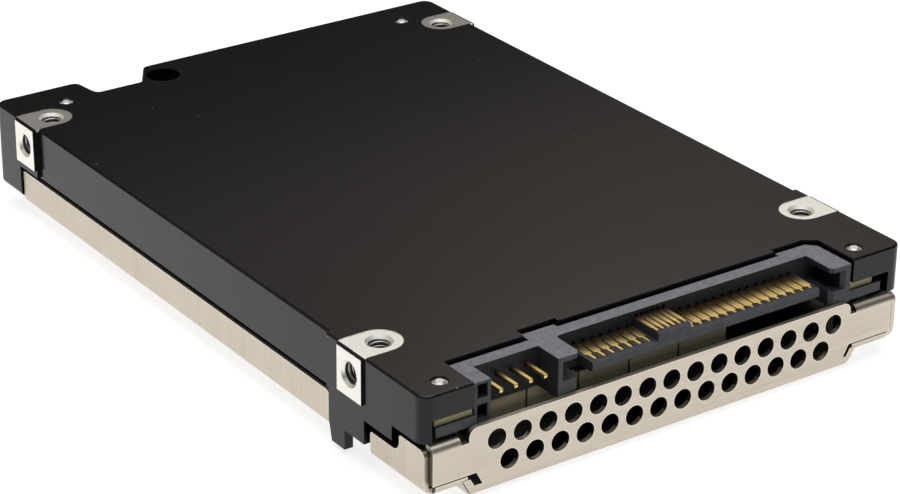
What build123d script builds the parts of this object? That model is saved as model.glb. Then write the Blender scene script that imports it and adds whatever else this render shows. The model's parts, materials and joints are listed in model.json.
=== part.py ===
from build123d import *
import os

os.makedirs("parts", exist_ok=True)

# A 2.5-inch solid-state drive, lying with its sheet cover down and its cast base up.
# The connector faces -Y, +X is to the right, and the cover's plateau rests on Z = 0.
# All sizes are in millimetres.

# Points nearer than this are the same place
same_place = 0.01

# Overall size, over the machined side pads and over the cover's front wall
overall_width = 69.85
overall_length = 100.0
overall_height = 14.0

# Cast base
side_inset = 0.3
front_setback = 0.625
plate_thickness = 1.2
side_wall = 1.5
front_wall = 1.3
rear_wall = 1.6
corner_radius = 1.5
top_edge_radius = 0.3
corner_post = 1.2
slot_beside_board = 0.9

# Lower edge of the cast side walls, heights above the seat
rear_edge_height = 2.75
wall_edge_height = 7.15
foot_height = 0.7
post_edge_height = 3.2
tooth_edge_height = 6.25
front_edge_height = 8.15
lip_edge_height = 2.85
lip_thickness = 0.9
rear_foot_radius = 0.7

# Steps along the lower edge, back from the casting's front face
tooth_front = 6.0
post_front = 11.45
foot_front = 15.4
foot_rear = 18.0
post_rear = 18.6
rear_corner_length = 6.5

# Recessed side panel between the mounting bosses
panel_depth = 0.4
panel_bevel = 0.3
panel_front = 19.0
panel_rear_margin = 11.35

# Mounting holes, threaded M3
mount_inset = 4.065
mount_setback = 14.0
mount_rear_inset = 8.775
mount_side_drop = 3.0
mount_hole_radius = 1.25
mount_sink_radius = 1.65
mount_depth = 4.5
mount_side_depth = 2.5
pad_width = 5.0
pad_height = 5.9
pad_edge_chamfer = 0.35
top_pad_radius = 2.7
top_pad_depth = 0.1
boss_width = 6.4
boss_length = 6.3
boss_height = 6.4

# Notch and round recess at the rear edge of the top plate
notch_mid = -18.425
notch_floor = 6.75
notch_left_flare = 0.6
notch_right_flare = 2.8
notch_length = 4.55
notch_depth = 2.2
notch_mouth_radius = 1.1
notch_floor_radius = 0.9
recess_radius = 2.3
recess_x = -11.5
recess_inset = 4.15
rear_land_length = 7.0
rear_land_height = 3.2
rear_land_margin = 3.0

# Sheet cover
sheet = 0.6
bend_radius = 0.9
cover_side_inset = 0.6
shoulder_height = 2.0
shoulder_rear_inset = 0.6
shoulder_side_inset = 1.7
side_wall_gap = 0.65
side_wall_clearance = 0.25
side_front_radius = 0.9
side_rear_radius = 0.4
tab_gap = 0.8
tab_rear_gap = 0.8
tab_step_radius = 0.35
tab_valley_radius = 1.2
tab_foot_radius = 0.8
tab_front_inset = 0.8
tab_low_height = 5.2
tab_step = 1.0
plateau_flare_width = 1.15
plateau_rear_inset = 9.0
plateau_corner_radius = 4.0
front_wall_height = 8.85
fold_radius = 1.5
wall_left_overhang = 2.75
wall_right_overhang = 1.65
wall_slant = 1.74
foot_relief_left = 2.0
foot_relief_right = 1.4
foot_relief_height = 1.65
front_corner_radius = 1.1
relief_width = 1.0
relief_height = 7.2
ear_left_inset = 0.875
ear_right_inset = 1.775
ear_height = 3.2
ear_flange = 1.3
ear_gap = 0.2
hem_gap = 0.15
hem_end_inset = 0.4

# Round vents in the cover's front wall, two staggered rows
vent_radius = 1.25
vent_pitch = 3.49
vent_row_height = 6.6
vent_row_spacing = 3.03
vent_edge_margin = 0.8

# Circuit boards
main_board_drop = 3.1
main_board_thickness = 1.0
main_board_side_gap = 0.3
main_board_rear_inset = 12.4
board_ear_inset = 0.45
board_ear_right_inset = 2.825
board_notch_gap = 0.4
second_board_thickness = 1.0
second_board_margin = 0.6
second_board_front_inset = 2.0
second_board_rear_inset = 13.4

# Plug connector
connector_mid = 4.975
connector_half = 21.5
connector_gap = 0.4
housing_drop = 0.5
housing_bottom_drop = 5.4
plug_front_gap = 0.1
cavity_depth = 4.6
bar_depth = 1.8
guide_rear_step = 0.65
guide_rear_length = 4.6
guide_rear_chamfer = 1.1
guide_roof = 0.6
guide_roof_width = 3.0
guide_wall_left = 0.65
guide_wall_right = 1.2
guide_channel = 2.4
guide_tip_chamfer = 0.5
guide_corner_radius = 0.6
tongue_half = 16.695
tongue_drop = 2.37
tongue_thickness = 1.23
key_left_offset = -7.4
key_right_offset = -2.7
key_rise = 1.0
tongue_chamfer = 0.2
wing_thickness = 1.2
wing_left_gap = 0.225
wing_right_inset = 1.725
wing_depth = 5.0
leg_radius = 1.8

# Jumper box beside the plug
jumper_box_width = 10.975
jumper_cheek = 2.2
jumper_front_inset = 0.5
jumper_depth = 3.3
jumper_bar = 1.7
jumper_window_width = 1.35
jumper_window_height = 1.7
jumper_window_depth = 2.4
jumper_window_drop = 0.3
jumper_window_pitch = 2.5
pin_count = 4
pin_pitch = 2.0
pin_first_offset = 3.35
pin_side = 0.45
pin_drop = 2.2
pin_tip_chamfer = 0.12
pin_tail = 1.4

# Contacts
contact_thickness = 0.15
contact_tip_inset = 0.6
contact_tail = 1.7
contact_slot_height = 0.45
contact_slot_gap = 0.05
contact_neck = 0.34
contact_shoulder = 0.2
contact_sink = 0.09
contact_channel_gap = 0.06
contact_tip_chamfer = 0.08
signal_count = 7
signal_contact_spacing = 1.27
signal_contact_width = 0.92
signal_prong = 1.1
signal_first_offset = -15.875
power_count = 15
power_contact_spacing = 1.27
power_contact_width = 1.04
power_prong = 0.45
power_first_offset = -1.905
key_count = 6
key_contact_spacing = 0.8
key_contact_width = 0.52
key_prong = 0.75
second_port_count = 7

# Screws and standoffs
screw_radius = 0.85
screw_hole_gap = 0.05
screw_clearance = 0.15
screw_head_radius = 1.3
screw_head_height = 0.9
screw_tip_below = 0.03
screw_tip_chamfer = 0.35
screw_mouth_radius = 1.05
screw_slot_width = 0.5
screw_slot_length = 1.8
screw_slot_depth = 0.45
screw_head_left_gap = 0.05
screw_head_right_gap = 0.65
front_screw_left_inset = 3.925
front_screw_right_inset = 5.525
front_screw_setback = 2.575
rear_screw_side_inset = 7.925
rear_screw_inset = 5.1
rear_post_radius = 2.3
standoff_across_flats = 3.6
standoff_edge_inset = 3.3
standoff_setback = 14.0
standoff_rear_inset = 3.2
standoff_stud_radius = 0.95
standoff_stud_length = 2.4
standoff_post_radius = 2.2
standoff_bore_depth = 3.2
board_screw_radius = 0.75
board_screw_length = 2.4
board_screw_head_radius = 1.5
board_screw_head_height = 0.7

# Packages on the boards
controller_side = 21.0
controller_height = 1.2
controller_x = -8.0
controller_setback = 25.0
memory_width = 9.0
memory_length = 12.0
memory_height = 1.0
memory_x = 14.0
memory_setback = 21.0
memory_pitch = 13.5
flash_width = 14.0
flash_length = 18.0
flash_height = 1.0
second_pad_thickness = 1.8
flash_gap = 1.0
flash_column_pitch = 17.0
flash_row_pitch = 19.0
plug_length = 26.0
plug_width = 4.6
plug_setback = 20.0
plug_wall = 0.8
plug_lip = 1.0
inductor_side = 5.0
inductor_height = 2.4
inductor_edge_inset = 4.0
inductor_pitch = 6.5
inductor_gap = 1.0
capacitor_length = 6.95
capacitor_width = 4.3
capacitor_gap = 0.1
capacitor_count = 5
capacitor_first_offset = 4.1
capacitor_pitch = 7.25
capacitor_setback = 4.6

# Places that follow from the sizes above
half_width = overall_width / 2
front = -overall_length / 2
rear = overall_length / 2
casting_side = half_width - side_inset
casting_front = front + front_setback
casting_inner = casting_side - side_wall
cover_side = half_width - cover_side_inset
lip_outer = cover_side - sheet - side_wall_clearance
pocket_half = lip_outer - lip_thickness
plate_under = overall_height - plate_thickness
mount_x = half_width - mount_inset
mount_rows = [casting_front + mount_setback, rear - mount_rear_inset]
mount_points = [(side * mount_x, row) for side in (-1, 1) for row in mount_rows]
mount_side_height = overall_height - mount_side_drop
pad_bottom = overall_height - pad_height

main_board_top = overall_height - main_board_drop
main_board_under = main_board_top - main_board_thickness
plateau_top = sheet
shoulder_top = shoulder_height + sheet
second_board_under = plateau_top + second_pad_thickness + flash_height
second_board_top = second_board_under + second_board_thickness

housing_top = overall_height - housing_drop
housing_bottom = overall_height - housing_bottom_drop
plug_front = front + sheet + plug_front_gap
cavity_back = plug_front + cavity_depth
bar_rear = cavity_back + bar_depth
guide_rear = bar_rear + guide_rear_step
guide_left = connector_mid - connector_half
guide_right = connector_mid + connector_half
tongue_top = overall_height - tongue_drop
tongue_under = tongue_top - tongue_thickness
key_top = tongue_top + key_rise
roof_under = housing_top - guide_roof
channel_floor = roof_under - guide_channel
jumper_box_left = guide_left - jumper_box_width
jumper_front = plug_front + jumper_front_inset
jumper_back = jumper_front + jumper_depth
jumper_rear = jumper_back + jumper_bar
pin_low = overall_height - pin_drop - pin_side / 2
board_front = guide_rear + connector_gap
wing_under = main_board_under - wing_thickness
wing_left = wing_left_gap - casting_inner
wing_right = casting_inner - wing_right_inset
board_ear_right = casting_inner - board_ear_right_inset

screw_left = front_screw_left_inset - casting_side
screw_right = casting_side - front_screw_right_inset
front_screws = [(x, casting_front + front_screw_setback) for x in (screw_left, screw_right)]
rear_screw_x = casting_side - rear_screw_side_inset
rear_screws = [(side * rear_screw_x, rear - rear_screw_inset) for side in (-1, 1)]

plateau_left = screw_left + screw_head_radius + screw_head_left_gap + plateau_flare_width
plateau_right = screw_right - screw_head_radius - screw_head_right_gap - plateau_flare_width
flare_lean = plateau_flare_width / shoulder_height
wall_foot_left = plateau_left + foot_relief_left
wall_foot_right = plateau_right - foot_relief_right
cover_mid = (wall_foot_left + wall_foot_right) / 2
wall_foot_half = wall_foot_right - cover_mid
plateau_rear = rear - plateau_rear_inset

main_board_rear = rear - main_board_rear_inset
second_board_rear = rear - second_board_rear_inset
second_half = wall_foot_half - second_board_margin
standoff_reach = second_half - standoff_edge_inset
standoff_rows = [casting_front + standoff_setback, second_board_rear - standoff_rear_inset]
standoff_points = [(cover_mid + side * standoff_reach, row) for side in (-1, 1) for row in standoff_rows]


def between(x_low, y_low, x_high, y_high, mode=Mode.ADD):
    """Rectangle between two corners, in the sketch that is being built."""
    with Locations(((x_low + x_high) / 2, (y_low + y_high) / 2)):
        Rectangle(x_high - x_low, y_high - y_low, mode=mode)


def facing_front(y):
    """Plane across the drive at a place along Y, facing the connector end, with Z up its sketch."""
    return Plane((0, y, 0), x_dir=(1, 0, 0), z_dir=(0, -1, 0))


def finish(builder, name):
    """Label a finished piece and write it to its own file."""
    builder.part.label = name
    export_step(builder.part, f"parts/{name}.step")


def edges_at(builder, axis, places):
    """Edges along an axis at given places across it, each a pair of the other two coordinates."""
    found = ShapeList()
    for edge in builder.edges().filter_by(axis):
        both = zip(edge.center(), axis.direction)
        across = Vector(*[value for value, way in both if abs(way) < same_place])
        if any((across - Vector(*place)).length < same_place for place in places):
            found.append(edge)
    return found


def contact_outline(width, prong):
    """Plan of one contact about X = 0: a narrow tip, a wide blade and a narrow neck."""
    half = width / 2
    neck = contact_neck / 2
    right_side = [
        (neck, tip),
        (neck, tip + prong),
        (half, tip + prong + contact_shoulder),
        (half, cavity_back - contact_slot_gap),
        (neck, cavity_back - contact_slot_gap),
        (neck, bend),
    ]
    return right_side + [(-x, y) for x, y in reversed(right_side)]


def plug_outline(gap):
    """Outline of the plug and the jumper box in plan, wider by a gap."""
    left_step = guide_left + guide_rear_length
    right_step = guide_right - guide_rear_length - guide_rear_chamfer
    return [
        (jumper_box_left - gap, front - sheet),
        (jumper_box_left - gap, jumper_rear + gap),
        (guide_left - gap, jumper_rear + gap),
        (guide_left - gap, guide_rear + gap),
        (left_step + gap, guide_rear + gap),
        (left_step + gap, bar_rear + gap),
        (right_step - gap, bar_rear + gap),
        (right_step - gap, guide_rear + gap),
        (guide_right - guide_rear_chamfer, guide_rear + gap),
        (guide_right + gap, guide_rear - guide_rear_chamfer + gap),
        (guide_right + gap, front - sheet),
    ]


def lower_edge(wall_edge, foot_edge):
    """Space below the cast walls, seen from the side, with the heights where wall and foot end."""
    return [
        (rear + sheet, -sheet),
        (rear + sheet, rear_edge_height),
        (rear - rear_corner_length, rear_edge_height),
        (rear - rear_corner_length, wall_edge),
        (casting_front + post_rear, wall_edge),
        (casting_front + post_rear, post_edge_height),
        (casting_front + foot_rear, foot_edge),
        (casting_front + foot_front, foot_edge),
        (casting_front + foot_front, post_edge_height),
        (casting_front + post_front, post_edge_height),
        (casting_front + post_front, tooth_edge_height),
        (casting_front + tooth_front, tooth_edge_height),
        (casting_front + tooth_front, front_edge_height),
        (front - sheet, front_edge_height),
        (front - sheet, -sheet),
    ]


# Outline of the notch at the rear edge of the top plate
notch_floor_left = notch_mid - notch_floor / 2
notch_floor_right = notch_mid + notch_floor / 2
notch_left = notch_floor_left - notch_left_flare
notch_right = notch_floor_right + notch_right_flare
with BuildSketch(Plane.XY.offset(overall_height)) as rear_notch:
    with BuildLine():
        FilletPolyline(
            (notch_left - notch_floor, rear),
            (notch_left, rear),
            (notch_floor_left, rear - notch_length),
            (notch_floor_right, rear - notch_length),
            (notch_right, rear),
            (notch_right + notch_floor, rear),
            radius=[notch_mouth_radius, notch_floor_radius, notch_floor_radius, notch_mouth_radius],
        )
        Polyline(
            (notch_right + notch_floor, rear),
            (notch_mid, rear + notch_length),
            (notch_left - notch_floor, rear),
        )
    make_face()

# Cast base: a tray open below, with its plate on top
with BuildPart() as base_casting:
    with BuildSketch(Plane.XY.offset(foot_height)):
        with Locations((0, (casting_front + rear) / 2)):
            RectangleRounded(2 * casting_side, rear - casting_front, corner_radius)
    extrude(amount=overall_height - foot_height)
    extrude(rear_notch.sketch, amount=-notch_depth, mode=Mode.SUBTRACT)
    fillet(base_casting.faces().sort_by(Axis.Z)[-1].edges(), radius=top_edge_radius)
    # Machined pads stand proud of the sides at the mounting holes
    with BuildSketch(Plane.XY.offset(pad_bottom)):
        with Locations(*[(0, row) for row in mount_rows]):
            Rectangle(overall_width, pad_width)
    extrude(amount=pad_height)
    pad_edges = base_casting.edges().filter_by(Axis.Y).group_by(Axis.Z)[-1]
    chamfer(pad_edges.filter_by(lambda edge: abs(edge.center().X) > casting_side), length=pad_edge_chamfer)
    # Tray pocket
    with BuildSketch(Plane.XY):
        between(-casting_inner, casting_front + front_wall, casting_inner, casting_front + post_front)
        between(-pocket_half, casting_front + post_front, pocket_half, rear - rear_wall)
    extrude(amount=plate_under, mode=Mode.SUBTRACT)
    # Stepped lower edge of the side walls, with an inner lip that stands behind the sheet cover
    for side in (-1, 1):
        with BuildSketch(Plane.YZ.offset(side * lip_outer)):
            Polygon(*lower_edge(wall_edge_height, foot_height), align=None)
        extrude(amount=side * half_width, mode=Mode.SUBTRACT)
    with BuildSketch(Plane.YZ):
        Polygon(*lower_edge(lip_edge_height, lip_edge_height), align=None)
    extrude(amount=lip_outer, both=True, mode=Mode.SUBTRACT)
    fillet(edges_at(base_casting, Axis.X, [(rear, rear_edge_height)]), radius=rear_foot_radius)
    # Opening below the front corner blocks, where the board and the wings show
    with BuildSketch(Plane.XY):
        between(
            corner_post - casting_side,
            front - sheet,
            casting_side - corner_post - slot_beside_board,
            casting_front + front_wall,
        )
    extrude(amount=main_board_top, mode=Mode.SUBTRACT)
    # Corner blocks over the board, bosses behind the pads, posts for the standoffs
    with BuildSketch(Plane.XY.offset(main_board_top)):
        between(-casting_inner, casting_front + front_wall, jumper_box_left, jumper_rear)
        between(guide_right, casting_front + front_wall, casting_inner, jumper_rear)
        with Locations(*standoff_points):
            Circle(standoff_post_radius)
    extrude(amount=plate_under - main_board_top)
    with BuildSketch(Plane.XY.offset(overall_height - boss_height)):
        for x, y in mount_points:
            boss_mid = (casting_inner - boss_length / 2) * (1 if x > 0 else -1)
            with Locations((boss_mid, y)):
                Rectangle(boss_length, boss_width)
    extrude(amount=plate_under - overall_height + boss_height)
    with BuildSketch(Plane.XY.offset(shoulder_top)):
        with Locations(*rear_screws):
            Circle(rear_post_radius)
    extrude(amount=plate_under - shoulder_top)
    # Thick land under the rear notch and recess
    with BuildSketch(Plane.XY.offset(plate_under - rear_land_height)):
        between(
            notch_left - rear_land_margin,
            rear - rear_land_length,
            recess_x + recess_radius + rear_land_margin,
            rear - rear_wall,
        )
    extrude(amount=rear_land_height)
    extrude(rear_notch.sketch, amount=-notch_depth, mode=Mode.SUBTRACT)
    with BuildSketch(Plane.XY.offset(overall_height)):
        with Locations((recess_x, rear - recess_inset)):
            Circle(recess_radius)
    extrude(amount=-notch_depth, mode=Mode.SUBTRACT)
    # Opening for the plug and the jumper box
    with BuildSketch(Plane.XY.offset(wing_under)):
        Polygon(*plug_outline(connector_gap), align=None)
    extrude(amount=overall_height - wing_under, mode=Mode.SUBTRACT)
    # Shallow side panels, bevelled along the top edge
    with BuildSketch(facing_front(rear - panel_rear_margin)):
        Polygon(
            (half_width, foot_height),
            (casting_side - panel_depth, foot_height),
            (casting_side - panel_depth, overall_height - panel_bevel),
            (casting_side - panel_depth - panel_bevel, overall_height),
            (half_width, overall_height),
            align=None,
        )
        mirror(about=Plane.YZ)
    extrude(amount=rear - panel_rear_margin - casting_front - panel_front, mode=Mode.SUBTRACT)
    # Bare pads round the mounting holes in the top face
    with BuildSketch(Plane.XY.offset(overall_height)):
        with Locations(*mount_points):
            Circle(top_pad_radius)
        for x, y in mount_points:
            pad_mid = (mount_x + half_width) / 2 * (1 if x > 0 else -1)
            with Locations((pad_mid, y)):
                Rectangle(mount_inset, 2 * top_pad_radius)
    extrude(amount=-top_pad_depth, mode=Mode.SUBTRACT)
    # Threaded mounting holes, then the holes for the cover screws and the studs
    with Locations(*[(x, y, overall_height - top_pad_depth) for x, y in mount_points]):
        CounterSinkHole(mount_hole_radius, mount_sink_radius, depth=mount_depth)
    for side in (-1, 1):
        for row in mount_rows:
            face = Plane((side * half_width, row, mount_side_height), z_dir=(side, 0, 0))
            with Locations(face.location):
                CounterSinkHole(mount_hole_radius, mount_sink_radius, depth=mount_side_depth)
    with Locations(*[(x, y, overall_height) for x, y in front_screws + rear_screws]):
        CounterSinkHole(screw_radius + screw_hole_gap, screw_mouth_radius)
    with BuildSketch(Plane.XY.offset(main_board_top)):
        with Locations(*standoff_points):
            Circle(standoff_stud_radius + screw_hole_gap)
    extrude(amount=standoff_stud_length - main_board_thickness + screw_clearance, mode=Mode.SUBTRACT)
finish(base_casting, "base_casting")


# Folded sheet cover with a drawn plateau and a perforated front wall
side_wall_top = wall_edge_height - side_wall_gap
tab_top = front_edge_height - tab_gap
shoulder_edge = cover_side - bend_radius
side_wall_rear = rear - rear_corner_length - side_wall_clearance
side_wall_front = casting_front + post_rear + side_wall_clearance
tab_rear = casting_front + post_front - tab_rear_gap
tab_front = front + tab_front_inset
tab_tooth = casting_front + tooth_front - tab_step
ear_top = front_edge_height - ear_gap
wall_left = wall_foot_left - wall_left_overhang
wall_right = wall_foot_right + wall_right_overhang
ear_left = ear_left_inset - casting_side
ear_right = casting_side - ear_right_inset
hem_left_end = plateau_left + sheet - flare_lean * (ear_height - plateau_top)
hem_right_end = plateau_right - sheet + flare_lean * (ear_height - plateau_top)
vent_count = int((2 * wall_foot_half - 2 * vent_edge_margin) // vent_pitch) + 1

with BuildPart() as bottom_cover:
    # Shoulder all round, cut back where the cast posts and the rear wall come down
    with BuildSketch(Plane.XY.offset(shoulder_height)):
        between(-shoulder_edge, front + bend_radius, shoulder_edge, side_wall_rear)
        between(
            shoulder_side_inset - casting_side,
            side_wall_rear,
            casting_side - shoulder_side_inset,
            rear - shoulder_rear_inset,
        )
        for side in (-1, 1):
            with Locations((side * half_width, (tab_rear + side_wall_front) / 2)):
                Rectangle(
                    2 * (half_width - pocket_half + side_wall_clearance),
                    side_wall_front - tab_rear,
                    mode=Mode.SUBTRACT,
                )
    extrude(amount=sheet)
    # Side walls folded up from the shoulder, a long one and a front tab on each side
    for wall_front, wall_rear, wall_top in (
        (side_wall_front, side_wall_rear, side_wall_top),
        (tab_front, tab_rear, tab_top),
    ):
        with BuildSketch(facing_front(wall_rear)):
            with BuildLine():
                FilletPolyline(
                    (shoulder_edge - sheet, shoulder_height),
                    (cover_side, shoulder_height),
                    (cover_side, wall_top),
                    radius=bend_radius,
                )
                offset(amount=sheet, side=Side.LEFT)
            make_face()
            mirror(about=Plane.YZ)
        extrude(amount=wall_rear - wall_front)
        wall_ends = bottom_cover.edges(Select.LAST).filter_by(Axis.X).group_by(Axis.Z)[-1].group_by(Axis.Y)
        fillet(wall_ends[0], radius=side_front_radius)
        fillet(wall_ends[-1], radius=side_rear_radius)
    # Step in the tab's top edge under the cast tooth
    with BuildSketch(Plane.YZ):
        between(tab_tooth, tab_low_height, tab_rear + sheet, tab_top + sheet)
    extrude(amount=overall_width, both=True, mode=Mode.SUBTRACT)
    step_corners = [(tab_tooth, tab_top), (tab_rear, tab_low_height)]
    fillet(edges_at(bottom_cover, Axis.X, step_corners), radius=tab_step_radius)
    fillet(edges_at(bottom_cover, Axis.X, [(tab_tooth, tab_low_height)]), radius=tab_valley_radius)
    # Round lower corner at the rear of the tab
    corner_y = tab_rear - tab_foot_radius
    corner_z = shoulder_height + tab_foot_radius
    for side in (-1, 1):
        with BuildSketch(Plane.YZ.offset(side * (pocket_half - side_wall_clearance))):
            between(corner_y, shoulder_height, tab_rear, corner_z)
            with Locations((corner_y, corner_z)):
                Circle(tab_foot_radius, mode=Mode.SUBTRACT)
        extrude(amount=side * half_width, mode=Mode.SUBTRACT)
    # Hem along the shoulder's front edge, under each ear
    for hem_start, hem_end in (
        (ear_left + hem_end_inset, hem_left_end),
        (hem_right_end, ear_right - hem_end_inset),
    ):
        with BuildSketch(Plane.YZ.offset(hem_start)):
            with BuildLine():
                FilletPolyline(
                    (front + bend_radius + sheet, shoulder_height),
                    (front, shoulder_height),
                    (front, ear_height - hem_gap),
                    radius=bend_radius,
                )
                offset(amount=sheet, side=Side.RIGHT)
            make_face()
        extrude(amount=hem_end - hem_start)
    # Drawn plateau: flared walls, open into the front wall
    for floor, inset, mode in ((0, 0, Mode.ADD), (plateau_top, sheet, Mode.SUBTRACT)):
        flare = flare_lean * shoulder_top - inset
        with BuildSketch(Plane.XY.offset(floor)) as plateau_floor:
            between(plateau_left + inset, front + inset, plateau_right - inset, plateau_rear - inset)
            fillet(plateau_floor.vertices().group_by(Axis.Y)[-1], radius=plateau_corner_radius)
        with BuildSketch(Plane.XY.offset(shoulder_top + floor)) as plateau_rim:
            between(plateau_left - flare, front + inset, plateau_right + flare, plateau_rear + flare)
            fillet(plateau_rim.vertices().group_by(Axis.Y)[-1], radius=plateau_corner_radius)
        loft(mode=mode)
    # Front wall with its ears and relief notches
    with BuildSketch(facing_front(front)) as wall_face:
        Polygon(
            (wall_foot_left, 0),
            (wall_foot_right, 0),
            (wall_foot_right + wall_slant, ear_height),
            (ear_right, ear_height),
            (ear_right, relief_height),
            (wall_right, relief_height),
            (wall_right, front_wall_height),
            (wall_left, front_wall_height),
            (wall_left, relief_height),
            (ear_left, relief_height),
            (ear_left, ear_height),
            (wall_foot_left - wall_slant, ear_height),
            align=None,
        )
        fillet(wall_face.vertices().group_by(Axis.Y)[-1], radius=front_corner_radius)
    extrude(amount=-sheet)
    # Relief holes between the wall's slanted foot and the flare, then the vents
    relief_lean = flare_lean * (foot_relief_height - plateau_top)
    relief_slant = wall_slant * foot_relief_height / ear_height
    with BuildSketch(facing_front(front)):
        for side, foot, base, hem in (
            (-1, wall_foot_left, plateau_left, hem_left_end),
            (1, wall_foot_right, plateau_right, hem_right_end),
        ):
            Polygon(
                (base + side * (relief_lean - sheet), foot_relief_height),
                (hem, ear_height),
                (foot + side * wall_slant, ear_height),
                (foot + side * relief_slant, foot_relief_height),
                align=None,
            )
    extrude(amount=-sheet, mode=Mode.SUBTRACT)
    with BuildSketch(facing_front(front)):
        for row in range(2):
            count = vent_count - row
            for hole in range(count):
                vent_x = cover_mid + (hole - (count - 1) / 2) * vent_pitch
                with Locations((vent_x, vent_row_height - row * vent_row_spacing)):
                    Circle(vent_radius)
    extrude(amount=-sheet, mode=Mode.SUBTRACT)
    # Top of each ear, rolled inwards under the connector's wing
    for ear_start, ear_end in ((ear_left, wall_left - relief_width), (wall_right + relief_width, ear_right)):
        with BuildSketch(Plane.YZ.offset(ear_start)):
            with BuildLine():
                FilletPolyline(
                    (front, ear_height),
                    (front, ear_top),
                    (front + ear_flange, ear_top),
                    radius=bend_radius,
                )
                offset(amount=sheet, side=Side.RIGHT)
            make_face()
        extrude(amount=ear_end - ear_start)
    # Fold along the foot of the front wall, and screw holes in the shoulder
    fillet(edges_at(bottom_cover, Axis.X, [(front, 0)]), radius=fold_radius)
    fillet(edges_at(bottom_cover, Axis.X, [(front + sheet, plateau_top)]), radius=fold_radius - sheet)
    with BuildSketch(Plane.XY.offset(shoulder_height)):
        with Locations(*front_screws, *rear_screws):
            Circle(screw_radius + screw_clearance)
    extrude(amount=sheet, mode=Mode.SUBTRACT)
finish(bottom_cover, "bottom_cover")


# Places of the contacts along X, and where each rises from
signal_start = connector_mid + signal_first_offset
signal_places = [signal_start + index * signal_contact_spacing for index in range(signal_count)]
power_start = connector_mid + power_first_offset
power_places = [power_start + index * power_contact_spacing for index in range(power_count)]
key_mid = connector_mid + (key_left_offset + key_right_offset) / 2
key_places = [key_mid + (index - (key_count - 1) / 2) * key_contact_spacing for index in range(key_count)]
second_mid = (second_port_count - 1) / 2
second_places = [key_mid + (index - second_mid) * key_contact_spacing for index in range(second_port_count)]
pin_places = [jumper_box_left + pin_first_offset + index * pin_pitch for index in range(pin_count)]
upper_rows = {
    "signal_contacts": (signal_places, signal_contact_width, signal_prong, tongue_top),
    "key_contacts": (key_places, key_contact_width, key_prong, key_top),
    "power_contacts": (power_places, power_contact_width, power_prong, tongue_top),
}
tip = plug_front + contact_tip_inset
bend = guide_rear + contact_slot_gap
foot = board_front + contact_thickness

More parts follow.
